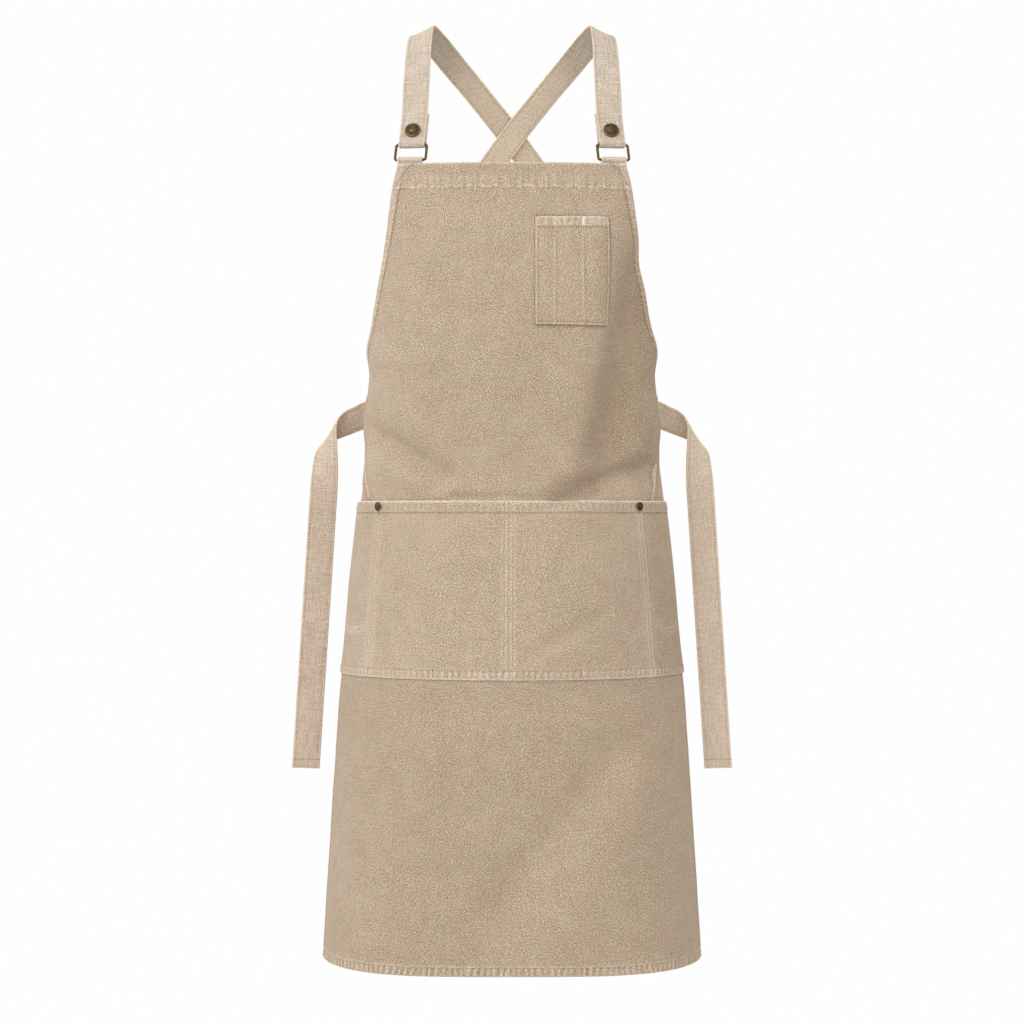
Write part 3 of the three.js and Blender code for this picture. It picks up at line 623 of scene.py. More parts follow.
def painted_side_shade(across, down):
    """1 where the bib's right side has painted shade, bounded by the drag line from the chest to the pocket.
    """
    place, lean, soft = SIDE_SHADE_INNER
    inner = smooth((across - place - lean * down) / soft)
    place, rise, soft = SIDE_SHADE_FOOT
    foot = smooth((place + rise * across - down) / soft)
    place, soft = SIDE_SHADE_HEAD
    return inner * foot * smooth((down - place) / soft)


def chest_shade(across, down):
    """Shade beside the chest pocket's edges, which keep the light off the bib."""
    left, right = CHEST_INNER, CHEST_INNER + CHEST_WIDE
    top, foot = CHEST_DROP, CHEST_DROP + CHEST_TALL
    outside = {"right": across - right, "foot": down - foot, "left": left - across, "top": top - down}
    shade = 0
    for edge, place, wide, amount, start, stop in CHEST_SHADE:
        if edge in ("left", "right"):
            beside = band(down, top + start, foot + stop)
        else:
            beside = band(across, left + start, right + stop)
        shade = np.maximum(shade, amount * groove(outside[edge] - place, wide) * beside)
    return shade


def body_tones(across, z, d_side, d_low, d_high, corner):
    """Pale and dark places of the body, from what rubs or folds it, and painted shade on the bib's right
    side, beside the chest pocket, on the skirt and in the rubbed side creases.
    """
    frayed = uneven(across, *FRAYED)
    line = d_high + WANDER * (uneven(across, 9, 0) - 0.5)
    wear = tones(np.minimum(np.minimum(d_side, d_low), d_high), across, BODY_EDGE)
    wear = wear - side_seam(d_side, d_high) + strip(d_side, *SIDE_PALE)
    for ends in RUBBED:
        wear = wear + tones(from_line(across, z, *ends), across, BODY_RUBBED_AND_CREASE_SHADE)
    # Painted shade on the bib's right side and beside the chest pocket.
    wear = wear - SIDE_SHADE_AMOUNT * painted_side_shade(across, d_high) - chest_shade(across, d_high)
    wear = wear + tones(d_low, across, BODY_FOOT) + strip(d_low, *FOOT_PALE)
    wear = wear + tones(line, across, BODY_TOP)
    wear = wear + tones(line, across, BODY_CREASE) * strip(-across, *CREASED)
    wear = wear + strip(d_high, *TOP_FRAYED) * (frayed - 0.3)
    # Painted shade on the skirt below the waist pocket, deeper towards the left.
    skirt = smooth((d_high - POCKET_DROP - POCKET_TALL) / 8)
    wear = wear - (SKIRT_PAINTED_SHADE + SKIRT_PAINTED_SHADE_LEFT * smooth(-across / 90)) * skirt
    return wear + tones(corner, across, BODY_CORNER) * (d_high < CORNER_STOP)


def side_seam(d_side, d_high):
    """1 on the side hem's sewn line, which fades out at the bib corner."""
    return groove(d_side - STITCH_IN, 0.7) * smooth((d_high - 18) / 6)


def make_body(material):
    low, high = below(APRON_TALL), below(0)
    rows = np.concatenate([
        low + np.array(HEM_LINES),
        lines((low + HEM_LINES[-1], 2.45), high - TOP_LINES[-1])[1:-1],
        (high - np.array(TOP_LINES))[::-1],
    ])
    across = np.array([edge_columns(half, BODY_COLUMNS) for half in cloth_half(rows)])
    z = np.broadcast_to(rows[:, None], across.shape)
    d_side = cloth_half(rows)[:, None] - np.abs(across)
    d_low, d_high = z - low, high - z
    nearest = np.minimum(np.minimum(d_side, d_low), d_high)
    edges = np.minimum(d_side, d_low)
    corner, outside = bib_corner(d_side, d_high)

    puff = strip(edges, *SIDE_PUFF) + strip(d_high, *TOP_PUFF)
    dips = DIPS["hem"] * np.maximum(side_seam(d_side, d_high), groove(d_low - STITCH_IN, 0.9))
    dips = np.maximum(dips, DIPS["top"] * groove(d_high - TOP_STITCH))
    dips = np.maximum(dips, DIPS["corner"] * groove(corner, 1.1) * (d_high < CORNER_STOP))
    covered = band(d_high, POCKET_DROP, POCKET_DROP + POCKET_TALL)
    folded = CORNER_FLAT * outside * smooth((CORNER_FOLD[1][1] - d_high) / 10)
    front = (puff - dips - folded) * (1 - covered) - edge_fall(nearest, BODY_ROUND, HEM_THICK / 2)
    hemmed = np.maximum(band(edges, -5, SIDE_HEM, HEM_SOFT), band(d_high, -5, TOP_HEM, HEM_SOFT))
    rear = -CLOTH_THICK - (HEM_THICK - CLOTH_THICK) * hemmed
    rear = rear + edge_fall(nearest, BODY_ROUND, HEM_THICK / 2)

    clear = clear_of_ends(d_low, d_high, *BODY_ENDS)
    pucker = np.maximum(strip(d_low, *FOOT_PUCKER), strip(d_side, *SIDE_PUCKER) * clear)
    pucker = np.maximum(pucker, np.maximum(strip(d_high, *TOP_PUCKER), strip(d_high, *UNDER_PUCKER)))
    along = hem_run(across, z, d_low, d_high, *BODY_LEVEL)
    wear = body_tones(across, z, d_side, d_low, d_high, corner)
    patchwork = Patchwork("apron_cloth")
    keep = ((len(HEM_LINES), len(TOP_LINES)), (len(HEM_LINES), len(HEM_LINES)))
    cloth_piece(patchwork, across, z, front, rear, keep, pucker, along, wear)
    body = patchwork.build(material, "apron_body")
    width = 2 * cloth_half(low) / 1000
    area = 2 * np.mean(cloth_half(np.linspace(low, high, 100))) * APRON_TALL / 1e6


# Waist pocket

POCKET_SWELL = 4.5  # how far the empty waist pocket stands off
WAIST_BASE = SEAM_GAP + 0.35 + CLOTH_THICK  # its outer face, off the body's
DIVIDER_DRIFT = (0.06, 0, 0.022)  # how far the seams close in on the middle towards the foot
WAIST_SEAMS = (0, *((1 + share) / 2 for share in DIVIDERS), 1)
WAIST_COLUMNS = (14, 58, 58, 16)  # steps of each compartment
SLOT_FOOT = 44  # rounded foot of each outer compartment, above the pocket's foot
SLOT_ROUND = 17
SLOT_BEND = 0.42
SLOT_INSETS = (0, 5)  # the two lines of its double seam
OUTER_SLOTS = ((-1, 0), (1, 2))  # side, and number of the divider that bounds it

WAIST_MOUTH = [(0.5, 1.2, 0.8, 0, 1), (12.4, 0.9, -0.5, 0, 1), (10.6, 0.9, 0.35, 0, 1)]
WAIST_FOOT = [(0.5, 1.0, 0.6, 0, 1), (11.0, 0.8, 0.3, 7, 0.2), (9.6, 0.8, -0.35, 0, 1)]
WAIST_SIDE = [(STITCH_IN, 0.9, -0.6, 0, 1)]
WAIST_SEAM = [(0, 0.8, -0.5, 0, 1), (1.4, 0.9, 0.55, 0, 1), (-1.4, 0.9, 0.5, 0, 1)]
WAIST_LAST_SEAM = [(-0.2, 0.7, 0.3, 0, 1), (1.4, 1.0, -0.55, 0, 1)]
WAIST_SLOT = [(0.8, 0.9, 0.42, 0, 1)]
WAIST_FOOT_PALE = (2, 9.4, 1.2, 0.15)
WAIST_MOUTH_PUFF = (0.8, 10.8, 1.2, 0.45)
WAIST_FOOT_PUFF = (0.6, 9.6, 1.2, 0.25)
WAIST_MOUTH_PUCKER = (3, 10.8, 3, 0.55)
WAIST_FOOT_PUCKER = (2, 10, 1.2, 0.95)
WAIST_SIDE_PUCKER = (1, 8.8, 1.2, 0.35)
WAIST_ROUND = 1.3
WAIST_ENDS, WAIST_LEVEL = (16, 18, 4), (13, 15)


def compartments(share, seams, ease):
    """How far a pocket stands off at its mouth, between its seams."""
    seams = np.array(seams)
    widths = np.diff(seams)
    i = np.clip(np.searchsorted(seams, share, side="right") - 1, 0, len(widths) - 1)
    within = (share - seams[i]) / widths[i]
    return ease * widths[i] / widths.max() * smooth(2 * np.minimum(within, 1 - within))


def divider_at(number, z):
    """Place across of a divider's middle at a height."""
    down = (below(POCKET_DROP) - z) / POCKET_TALL
    return DIVIDERS[number] * (1 - DIVIDER_DRIFT[number] * down) * cloth_half(z)


def waist_columns(z):
    """Columns of the waist pocket at a height: side hems, seams and even steps between."""
    hem = np.array(HEM_LINES)
    half = cloth_half(z)
    places = [hem - half]
    stop = hem[-1] - half
    for number, count in enumerate(WAIST_COLUMNS[:-1]):
        seam = divider_at(number, z) + SEAM_LINES
        places += [np.linspace(stop, seam[0], count + 1)[1:-1], seam]
        stop = seam[-1]
    places += [np.linspace(stop, half - hem[-1], WAIST_COLUMNS[-1] + 1)[1:-1], (half - hem)[::-1]]
    return np.concatenate(places)


def slot_span(number, inset):
    """Middle and reach of the seam at the foot of an outer compartment, across the cloth."""
    foot = below(POCKET_DROP + POCKET_TALL) + SLOT_FOOT + inset
    inner = abs(float(divider_at(number, foot))) + DOUBLE_APART + inset
    outer = float(cloth_half(foot)) - STITCH_IN - inset
    return (inner + outer) / 2, (outer - inner) / 2


def slot_height(across, number, inset):
    """Height of that seam, lowest in its middle."""
    middle, reach = slot_span(number, inset)
    share = np.clip((np.abs(across) - middle) / reach, -1, 1)
    foot = below(POCKET_DROP + POCKET_TALL) + SLOT_FOOT + inset
    return foot + SLOT_ROUND - SLOT_ROUND * (1 - share * share) ** SLOT_BEND


def slot_tone(across, z, side, number, inset):
    """The pale line beside the curved seam of an outer compartment."""
    middle, reach = slot_span(number, inset)
    within = (side * across > middle - reach) & (side * across < middle + reach)
    return within * tones(z - slot_height(across, number, inset), across, WAIST_SLOT)


def waist_tones(across, z, d_side, d_low, d_high):
    """Pale and dark places of the waist pocket, and painted shade on its right outer compartment."""
    wear = tones(d_high, across, WAIST_MOUTH) + tones(d_low, across, WAIST_FOOT)
    wear = wear + strip(d_low, *WAIST_FOOT_PALE) + tones(d_side, across, WAIST_SIDE) * (d_high > 13)
    for number in range(len(DIVIDERS)):
        from_line_of_seam = np.abs(across - divider_at(number, z)) - DOUBLE_APART
        wear = wear + tones(from_line_of_seam, across, WAIST_SEAM)
    for side, number in OUTER_SLOTS:
        for inset in SLOT_INSETS:
            wear = wear + slot_tone(across, z, side, number, inset)
    past = across - divider_at(2, z) - DOUBLE_APART
    # Painted shade on the right outer compartment, deeper towards the foot.
    return wear + tones(past, across, WAIST_LAST_SEAM) - 0.1 * (2 - d_low / POCKET_TALL) * smooth(past / 9)


def make_waist_pocket(material):
    low, high = below(POCKET_DROP + POCKET_TALL), below(POCKET_DROP)
    rows = np.concatenate([
        low + np.array(FOOT_LINES),
        lines((low + FOOT_LINES[-1], 2.3), high - MOUTH_LINES[-1])[1:-1],
        (high - np.array(MOUTH_LINES))[::-1],
    ])
    across = np.array([waist_columns(at) for at in rows])
    z = np.broadcast_to(rows[:, None], across.shape)
    half = cloth_half(rows)[:, None]
    d_side = half - np.abs(across)
    d_low, d_high = z - low, high - z
    lift = compartments((across / half + 1) / 2, WAIST_SEAMS, POCKET_SWELL)
    lift = lift * smooth(d_low / POCKET_TALL / POCKET_FLAT)
    nearest = np.minimum(np.minimum(d_side, d_low), d_high)

    dips = DIPS["hem"] * np.maximum(groove(d_side - STITCH_IN), groove(d_high - MOUTH_STITCH))
    for stitch in FOOT_STITCHES:
        dips = np.maximum(dips, DIPS["foot"] * groove(d_low - stitch, 0.9))
    for number in range(len(DIVIDERS)):
        from_seam = np.abs(across - divider_at(number, z))
        dips = np.maximum(dips, DIPS["divider"] * groove(from_seam - DOUBLE_APART, 0.8))
    front = WAIST_BASE + lift - dips + strip(d_high, *WAIST_MOUTH_PUFF) + strip(d_low, *WAIST_FOOT_PUFF)
    front = front - edge_fall(nearest, WAIST_ROUND, CLOTH_THICK / 2 + 0.2)
    rear = SEAM_GAP + 0.2 + lift + edge_fall(nearest, WAIST_ROUND, CLOTH_THICK / 2 + 0.1)
    rear = rear - 0.1 * band(d_high, -3, 12.2)

    pucker = np.maximum(strip(d_high, *WAIST_MOUTH_PUCKER), strip(d_low, *WAIST_FOOT_PUCKER))
    pucker = pucker * uneven(across, 17, 0.7)
    clear = clear_of_ends(d_low, d_high, *WAIST_ENDS)
    pucker = np.maximum(pucker, strip(d_side, *WAIST_SIDE_PUCKER) * clear)
    along = hem_run(across, z, d_low, d_high, *WAIST_LEVEL)
    wear = waist_tones(across, z, d_side, d_low, d_high)
    patchwork = Patchwork("waist_pocket_cloth")
    keep = ((len(FOOT_LINES), len(MOUTH_LINES)), (len(HEM_LINES), len(HEM_LINES)))
    cloth_piece(patchwork, across, z, front, rear, keep, pucker, along, wear)
    pocket = patchwork.build(material, "waist_pocket")
    width = 2 * cloth_half(low) / 1000
    area = 2 * float(np.mean(cloth_half(rows))) * POCKET_TALL / 1e6


# Chest pocket

CHEST_SWELL = 2.2  # how far the empty chest pocket stands off
CHEST_BASE = SEAM_GAP + 0.2 + CLOTH_THICK  # its outer face, off the body's
CHEST_EDGE = [(0.6, 0.9, 0.6, 11, 0.5)]
CHEST_EDGES = [(2.6, 1.0, -0.3, 0, 1)]
CHEST_MOUTH = [(11, 0.9, -0.5, 0, 1), (9.2, 0.9, 0.3, 0, 1)]
CHEST_PEN = [(-1.5, 0.9, 0.4, 0, 1)]
CHEST_PEN_TOP = [(-0.8, 1.0, 0.6, 0, 1)]
CHEST_PEN_DARK = 0.4
CHEST_PALE = (0.8, 9.6, 1.2, 0.22)
CHEST_PUFF = (0.8, 9.4, 1.2, 0.4)
CHEST_PUCKER = (1, 9.4, 1.2, 1)
CHEST_SIDE_PUCKER = (2, 7, 2, 0.35)
CHEST_ROUND = 1.2
CHEST_ENDS, CHEST_LEVEL = (11, 16, 3), (8, 13)
PEN_TOP = (0.5, 10.5, 1.2, 1)  # the pens' seams inside the mouth's hem


def make_chest_pocket(material):
    low, high = below(CHEST_DROP + CHEST_TALL), below(CHEST_DROP)
    left, right = CHEST_INNER, CHEST_INNER + CHEST_WIDE
    edge, mouth, fine = PATCH_LINES, PATCH_MOUTH, PEN_LINES
    pens = [CHEST_INNER + seam * CHEST_WIDE for seam in CHEST_SEAMS[1:-1]]
    inner = lines((low + edge[-1], 1.9), high - mouth[-1])[1:-1]
    rows = np.concatenate([low + edge, inner, (high - mouth)[::-1]])
    columns, stop = [left + edge], left + edge[-1]
    for pen in pens:
        columns += [lines((stop, 1.9), pen + fine[0])[1:-1], pen + fine]
        stop = pen + fine[-1]
    columns += [lines((stop, 1.9), right - edge[-1])[1:-1], (right - edge)[::-1]]
    across, z = np.meshgrid(np.concatenate(columns), rows)
    d_side = np.minimum(across - left, right - across)
    d_low, d_high = z - low, high - z
    lift = compartments((across - left) / CHEST_WIDE, CHEST_SEAMS, CHEST_SWELL)
    lift = lift * smooth(d_low / CHEST_TALL / POCKET_FLAT)
    nearest = np.minimum(np.minimum(d_side, d_low), d_high)
    edges = np.minimum(d_side, d_low)
    dips = np.maximum(groove(edges - PATCH_STITCH, 0.8), groove(d_high - PATCH_MOUTH_STITCH, 0.9))
    dips = DIPS["patch"] * dips
    wear = tones(nearest, across + z, CHEST_EDGE) + tones(edges, across, CHEST_EDGES)
    wear = wear + tones(d_high, across, CHEST_MOUTH) + strip(d_high, *CHEST_PALE)
    for pen in pens:
        line = groove(across - pen, 0.9)
        dips = np.maximum(dips, DIPS["pen"] * line)
        wear = wear + tones(across - pen, across, CHEST_PEN_TOP) * strip(d_high, *PEN_TOP)
        wear = wear + tones(across - pen, across, CHEST_PEN) - CHEST_PEN_DARK * line * (d_high > 11)
    fall = edge_fall(nearest, CHEST_ROUND, CLOTH_THICK / 2)
    front = CHEST_BASE + lift - dips + strip(d_high, *CHEST_PUFF) - fall
    rear = SEAM_GAP + lift + fall
    clear = clear_of_ends(d_low, d_high, *CHEST_ENDS)
    pucker = np.maximum(strip(d_high, *CHEST_PUCKER), strip(d_side, *CHEST_SIDE_PUCKER) * clear)
    along = hem_run(across, z, d_low, d_high, *CHEST_LEVEL)
    patchwork = Patchwork("chest_pocket_cloth")
    keep = ((len(edge), len(mouth)), (len(edge), len(edge)))
    cloth_piece(patchwork, across, z, front, rear, keep, pucker, along, wear)
    pocket = patchwork.build(material, "chest_pocket")


# Ribbons: tabs, straps and ties

RIBBON_SHARES = np.array([
    -0.5, -0.493, -0.478, -0.455, -0.43, -0.41, -0.395, -0.38, -0.35, -0.28, -0.18, -0.09, 0,
    0.09, 0.18, 0.28, 0.35, 0.38, 0.395, 0.41, 0.43, 0.455, 0.478, 0.493, 0.5,
])
RIBBON_STITCH = 0.395  # share of the width from the middle to each edge line
RIBBON_PUFF = (0.6, 2.4, 0.8, 0.1)
RIBBON_PUCKER = (0.6, 2.6, 0.8, 0.35)
RIBBON_EDGE = [(0.3, 0.8, 0.45, 0, 1)]
RIBBON_END = [(0.4, 0.8, 0.3, 0, 1)]
RIBBON_DIP = 0.22

# How pale each ribbon is, from rows of run along it and paleness; by side where the sides differ. Partly
# wear; the straps' paler back legs and the differences between the sides are painted light that evens out
# their shade.
STRAP_OUTER_PALE_AND_PAINTED_LIGHT = {-1: [(215, 0.13), (275, 0.35)], 1: [(215, 0.05), (275, 0.35)]}
STRAP_INNER_PALE_AND_PAINTED_LIGHT = [(235, 0.03), (345, 1.02), (395, 1.02), (455, 0.47)]
TAB_PALE = [(0, 0.35)]
TIE_PALE_AND_PAINTED_LIGHT = {-1: [(0, 0.19)], 1: [(0, 0.45)]}


def ribbon_normals(grid):
    """Normals of a ribbon's middle surface."""
    wide = np.gradient(grid, axis=1)
    long = np.gradient(grid, axis=0)
    return unit(np.cross(wide, long))


def pale_along(run, rows):
    """Paleness along a ribbon, easing from one row to the next."""
    pale = rows[0][1]
    for (start, low), (end, high) in zip(rows, rows[1:]):
        pale = pale + (high - low) * smooth((run - start) / (end - start))
    return pale


def ribbon(name, grid, thick, material, node, pales, hem_end=None):
    """A strip of doubled cloth from its middle surface, edge-stitched, with soft long edges."""
    shares = RIBBON_SHARES
    normals = ribbon_normals(grid)
    middle = grid[:, len(shares) // 2]
    along = np.concatenate([[0], np.cumsum(np.linalg.norm(np.diff(middle, axis=0), axis=1))])
    wide = float(np.linalg.norm(grid[0, -1] - grid[0, 0]))
    from_edge = np.broadcast_to((0.5 - np.abs(shares)) * wide, grid.shape[:2])
    run = np.broadcast_to(along[:, None], grid.shape[:2])
    stitched = groove(from_edge - (0.5 - RIBBON_STITCH) * wide, 0.8)
    half = thick / 2 - edge_fall(from_edge, 0.9, thick / 2) - RIBBON_DIP * stitched
    half = half + strip(from_edge, *RIBBON_PUFF)
    half = half - edge_fall(np.minimum(run, along[-1] - run), 0.9, thick / 2) * (half > 0)
    wear = tones(from_edge, run, RIBBON_EDGE) - RIBBON_DIP * stitched
    pucker = strip(from_edge, *RIBBON_PUCKER)
    if hem_end is not None:
        to_end = along[-1] - run
        end_line = groove(to_end - hem_end, 0.8)
        half = half - 0.25 * end_line + 0.25 * band(to_end, 0.8, hem_end - 0.7)
        wear = wear - 0.5 * end_line + tones(to_end, run, RIBBON_END)
    flat = np.stack([np.broadcast_to(shares * wide, grid.shape[:2]), run], axis=-1)
    patchwork = Patchwork(name)
    for way, rows in zip((1, -1), pales):
        face = grid + way * normals * half[..., None]
        tone = wear + pale_along(run, rows)
        patchwork.add(face, flat, flip=way < 0, pucker=pucker, along=run, wear=tone)
    piece = patchwork.build(material, node)
    return piece, wide / 1000, float(along[-1]) / 1000


def inner_reach(frame_point, inward, across, z, wide, tall):
    """How far the cloth's rear face reaches inwards behind a tab."""
    reach = 0
    for side in (-0.5, 0, 0.5):
        for drop in (0, 0.5, 1):
            spot, _ = cloth_frame(across + side * wide, z - drop * tall, -HEM_THICK)
            reach = max(reach, float(np.dot(spot - frame_point, inward)))
    return reach


def loop_radius(thick):
    """Radius of the middle of a layer that runs round a ring's bar."""
    return WIRE_RADIUS + SEAM_GAP + thick / 2


def ring_place(side):
    """Both bars' centres of the ring at one bib corner, and its directions."""
    top = below(0)
    across = side * (cloth_half(top) + TAB_PAST - TAB_WIDE / 2)
    point, normal = cloth_frame(across, top)
    inward = unit([-TAB_FACING * normal[0], -normal[1], 0])
    reach = inner_reach(point, inward, across, top, TAB_WIDE, TAB_HIDDEN)
    lower = point + inward * (reach + TAB_EASE + TAB_THICK + SEAM_GAP / 2)
    lower = lower + UP * LOOP_SPREAD * loop_radius(TAB_THICK)
    axis = np.cross(inward, UP)
    lean = turned(UP, axis, -math.radians(RING_LEAN))
    face = turned(-inward, axis, -math.radians(RING_LEAN))
    return {"lower": lower, "upper": lower + lean * RING_TALL, "inward": inward, "lean": lean,
            "face": face, "across": axis}


def loop_around(thick, front_end, rear_end, step=3.0):
    """(away, off) places of a ribbon that runs round a bar, front layer first."""
    radius, half = loop_radius(thick), (thick + SEAM_GAP) / 2
    near = LOOP_SPREAD * radius
    turn = np.radians(np.arange(-LOOP_PAST, 180 + LOOP_PAST + 1, 10))
    bend = np.stack([-radius * np.sin(turn), -radius * np.cos(turn)], axis=1)
    ahead = np.arange(front_end, near, -step)
    behind = np.arange(rear_end, near, -step)[::-1]
    parts = [np.stack([ahead, np.full(len(ahead), -half)], axis=1), [[near, -half]], bend, [[near, half]],
             np.stack([behind, np.full(len(behind), half)], axis=1)]
    return np.concatenate(parts)


def catmull(points, shares):
    """A centripetal curve through points, at shares of the way."""
    points = np.asarray(points, float)
    last = len(points) - 1
    first = 2 * points[0] - points[1]
    after = 2 * points[-1] - points[-2]
    full = np.vstack([first, points, after])
    out = []
    for share in np.atleast_1d(shares):
        p = share * last
        i = min(int(p), last - 1)
        w = p - i
        p0, p1, p2, p3 = full[i : i + 4]
        d0, d1, d2 = (max(float(np.sum((b - a) ** 2)), 0) ** 0.25 for a, b in ((p0, p1), (p1, p2), (p2, p3)))
        d1 = d1 if d1 > 1e-4 else 1.0
        d0 = d0 if d0 > 1e-4 else d1
        d2 = d2 if d2 > 1e-4 else d1
        t1 = ((p1 - p0) / d0 - (p2 - p0) / (d0 + d1) + (p2 - p1) / d1) * d1
        t2 = ((p2 - p1) / d1 - (p3 - p1) / (d1 + d2) + (p3 - p2) / d2) * d1
        c2 = -3 * p1 + 3 * p2 - 2 * t1 - t2
        c3 = 2 * p1 - 2 * p2 + t1 + t2
        out.append(p1 + t1 * w + c2 * w * w + c3 * w ** 3)
    return np.array(out)


SPAN_STEPS = 9  # rows of points between two places of a strap's course
TAIL_PEEK = 1.3  # how far the folded end shows past the strap's inner edge


def strap_grid(side):
    """The strap's middle surface, from its folded end round the ring to its sewn end."""
    place = ring_place(side)
    inwards = -side * place["across"]
    shares = RIBBON_SHARES
    loop = []
    for away, off in loop_around(STRAP_THICK, STRAP_TAIL, STRAP_TAIL):
        centre = place["upper"] + place["lean"] * away - place["face"] * off
        centre = centre + inwards * TAIL_PEEK * smooth(off / STRAP_THICK + 0.5)
        loop.append(centre + shares[:, None] * STRAP_WIDE * inwards)
    loop = loop[::-1]

    sewn_top = below(CORNER_DOWN * APRON_TALL + STRAP_SEWN_DROP)
    slant = math.radians(STRAP_SLANT)

    def sewn_row(share):
        z = sewn_top - share * STRAP_SEWN * math.cos(slant)
        in_from_edge = STRAP_SEWN_IN + share * STRAP_SEWN * math.sin(slant)
        across = -side * (float(cloth_half(sewn_top)) - in_from_edge)
        beside = side * shares * STRAP_WIDE * math.cos(slant)
        above = shares * STRAP_WIDE * math.sin(slant)
        return cloth_frame(across + beside, z + above, -(HEM_THICK + STRAP_EASE + STRAP_THICK / 2))[0]

    sewn = [sewn_row(share) for share in np.linspace(0, 1, 10)]
    anchors = {
        "ring": place["upper"],
        "crest": np.array([side * SHOULDER_HALF, 0, STRAP_THICK / 2]),
        "cross": np.array([0, CROSS_BACK - side * STRAPS_APART / 2, -CROSS_DROP]),
        "corner": sewn[0][len(shares) // 2],
    }
    ways, widths = [loop[-1][len(shares) // 2]], [inwards]
    for leg, out, back, rise, wide_out, wide_back, wide_up in STRAP_ROWS:
        start, end = (anchors[name] for name in STRAP_LEGS[leg])
        ways.append(start + (end - start) * np.array([out, back, rise]))
        widths.append(np.array([side * wide_out, wide_back, wide_up]))
    sewn_width = unit(sewn[0][-1] - sewn[0][0])
    ways += [sewn[0][len(shares) // 2], sewn[3][len(shares) // 2]]
    widths += [sewn_width, sewn_width]
    spans = len(ways) - 1
    steps = np.arange(1 / SPAN_STEPS, spans - 1 - 0.05, 1 / SPAN_STEPS) / spans
    centre = catmull(ways, steps)
    ahead, behind = catmull(ways, np.minimum(steps + 1e-4, 1)), catmull(ways, steps - 1e-4)
    tangent = unit(ahead - behind)
    width = catmull(widths, steps)
    width = unit(width - tangent * np.sum(width * tangent, axis=1, keepdims=True))
    free = centre[:, None] + shares[None, :, None] * STRAP_WIDE * width[:, None]
    return np.concatenate([np.array(loop), free, np.array(sewn)])


def make_strap(name, side, material, node):
    """A shoulder strap; returns its middle surface."""
    grid = strap_grid(side)
    pales = (STRAP_OUTER_PALE_AND_PAINTED_LIGHT[side], STRAP_INNER_PALE_AND_PAINTED_LIGHT)[::-side]
    piece, wide, long = ribbon(name, grid, STRAP_THICK, material, node, pales)
    return grid


def make_tab(name, side, material, node):
    """A tab folded round the ring's lower bar."""
    place = ring_place(side)
    end = LOOP_SPREAD * loop_radius(TAB_THICK) + TAB_HIDDEN
    rows = []
    for away, off in loop_around(TAB_THICK, end, end):
        centre = place["lower"] - UP * away + place["inward"] * off
        rows.append(centre + RIBBON_SHARES[:, None] * TAB_WIDE * place["across"])
    piece, wide, long = ribbon(name, np.array(rows), TAB_THICK, material, node, (TAB_PALE, TAB_PALE))


def tie_point(side, along, across):
    """The tie's middle surface, along from its sewn end."""
    root_z = below(CORNER_DOWN * APRON_TALL + TIE_SLOT)
    edge = float(cloth_half(root_z))
    off = TIE_EASE + TIE_THICK / 2
    if along < 0:
        return cloth_frame(side * (edge + along) + 0 * across, root_z + across, off)[0]
    root = cloth_frame(side * edge, root_z, off)[0]
    before = cloth_frame(side * (edge - 1), root_z, off)[0]
    start = math.atan2(root[1] - before[1], side * (root[0] - before[0]))
    curl_length = TIE_CURL * start
    turn = max(start - along / TIE_CURL, 0)
    turned_share = 1 - turn / start
    leant = math.radians(TIE_LEAN) * float(smooth((turned_share - TIE_UPRIGHT) / (1 - TIE_UPRIGHT)))
    drooped = math.radians(TIE_DROOP) * turned_share ** 2
    curl = np.array([side * (math.sin(start) - math.sin(turn)), math.cos(turn) - math.cos(start), 0])
    centre = root + curl * TIE_CURL - UP * drooped * curl_length * turned_share / 3
    facing = np.array([side * math.sin(turn), -math.cos(turn), 0])
    level = np.array([side * math.cos(turn), math.sin(turn), 0])
    upright = UP * math.cos(leant) + facing * math.sin(leant)
    rise = upright * math.cos(drooped) + level * math.sin(drooped)
    if along < curl_length:
        return centre + across[:, None] * rise
    out = level * math.cos(drooped) - upright * math.sin(drooped)
    face = facing * math.cos(leant) - UP * math.sin(leant)
    past = along - curl_length - TIE_OUT
    middle = centre + out * TIE_OUT
    splay = math.radians(TIE_SPLAY)
    hang = np.array([side * math.sin(splay), 0, -math.cos(splay)])
    slant = math.atan2(-hang @ rise, 1 - hang @ out)
    towards = out * math.cos(slant) + rise * math.sin(slant)
    line = rise * math.cos(slant) - out * math.sin(slant)
    full = math.atan2(hang @ face / math.cos(slant), 1 - (1 - hang @ out) / math.cos(slant) ** 2)

    def rolled(w):
        w = np.atleast_1d(w)[:, None]
        beyond = past * math.cos(slant) + w * math.sin(slant)
        beside = w * math.cos(slant) - past * math.sin(slant)
        angle = np.clip(beyond / ROLL_RADIUS, 0, full)
        rest = np.maximum(beyond - full * ROLL_RADIUS, 0)
        straight = np.minimum(beyond, 0) + rest * np.cos(angle)
        return (middle + line * beside + towards * (ROLL_RADIUS * np.sin(angle) + straight)
                + face * (ROLL_RADIUS * (1 - np.cos(angle)) + rest * np.sin(angle)))

    spine = rolled(0.0)[0]
    back_turn = smooth(past / TIE_UNTWIST_OVER)
    untwist = -side * math.radians(TIE_UNTWIST) * float(back_turn)
    offset = rolled(across) - spine
    c, s = math.cos(untwist), math.sin(untwist)
    x, y, height = offset.T
    return spine + np.stack([x * c - y * s, x * s + y * c, height], axis=1)


TIE_FINE_UP_TO = 130  # along it, where the turn at its root ends
TIE_END_LINES = np.array([12, 10.6, 9.9, 9.4, 8.9, 8.2, 6, 4, 2.5, 1.4, 0.8, 0.3, 0])
TIE_END_STITCH = 9.4


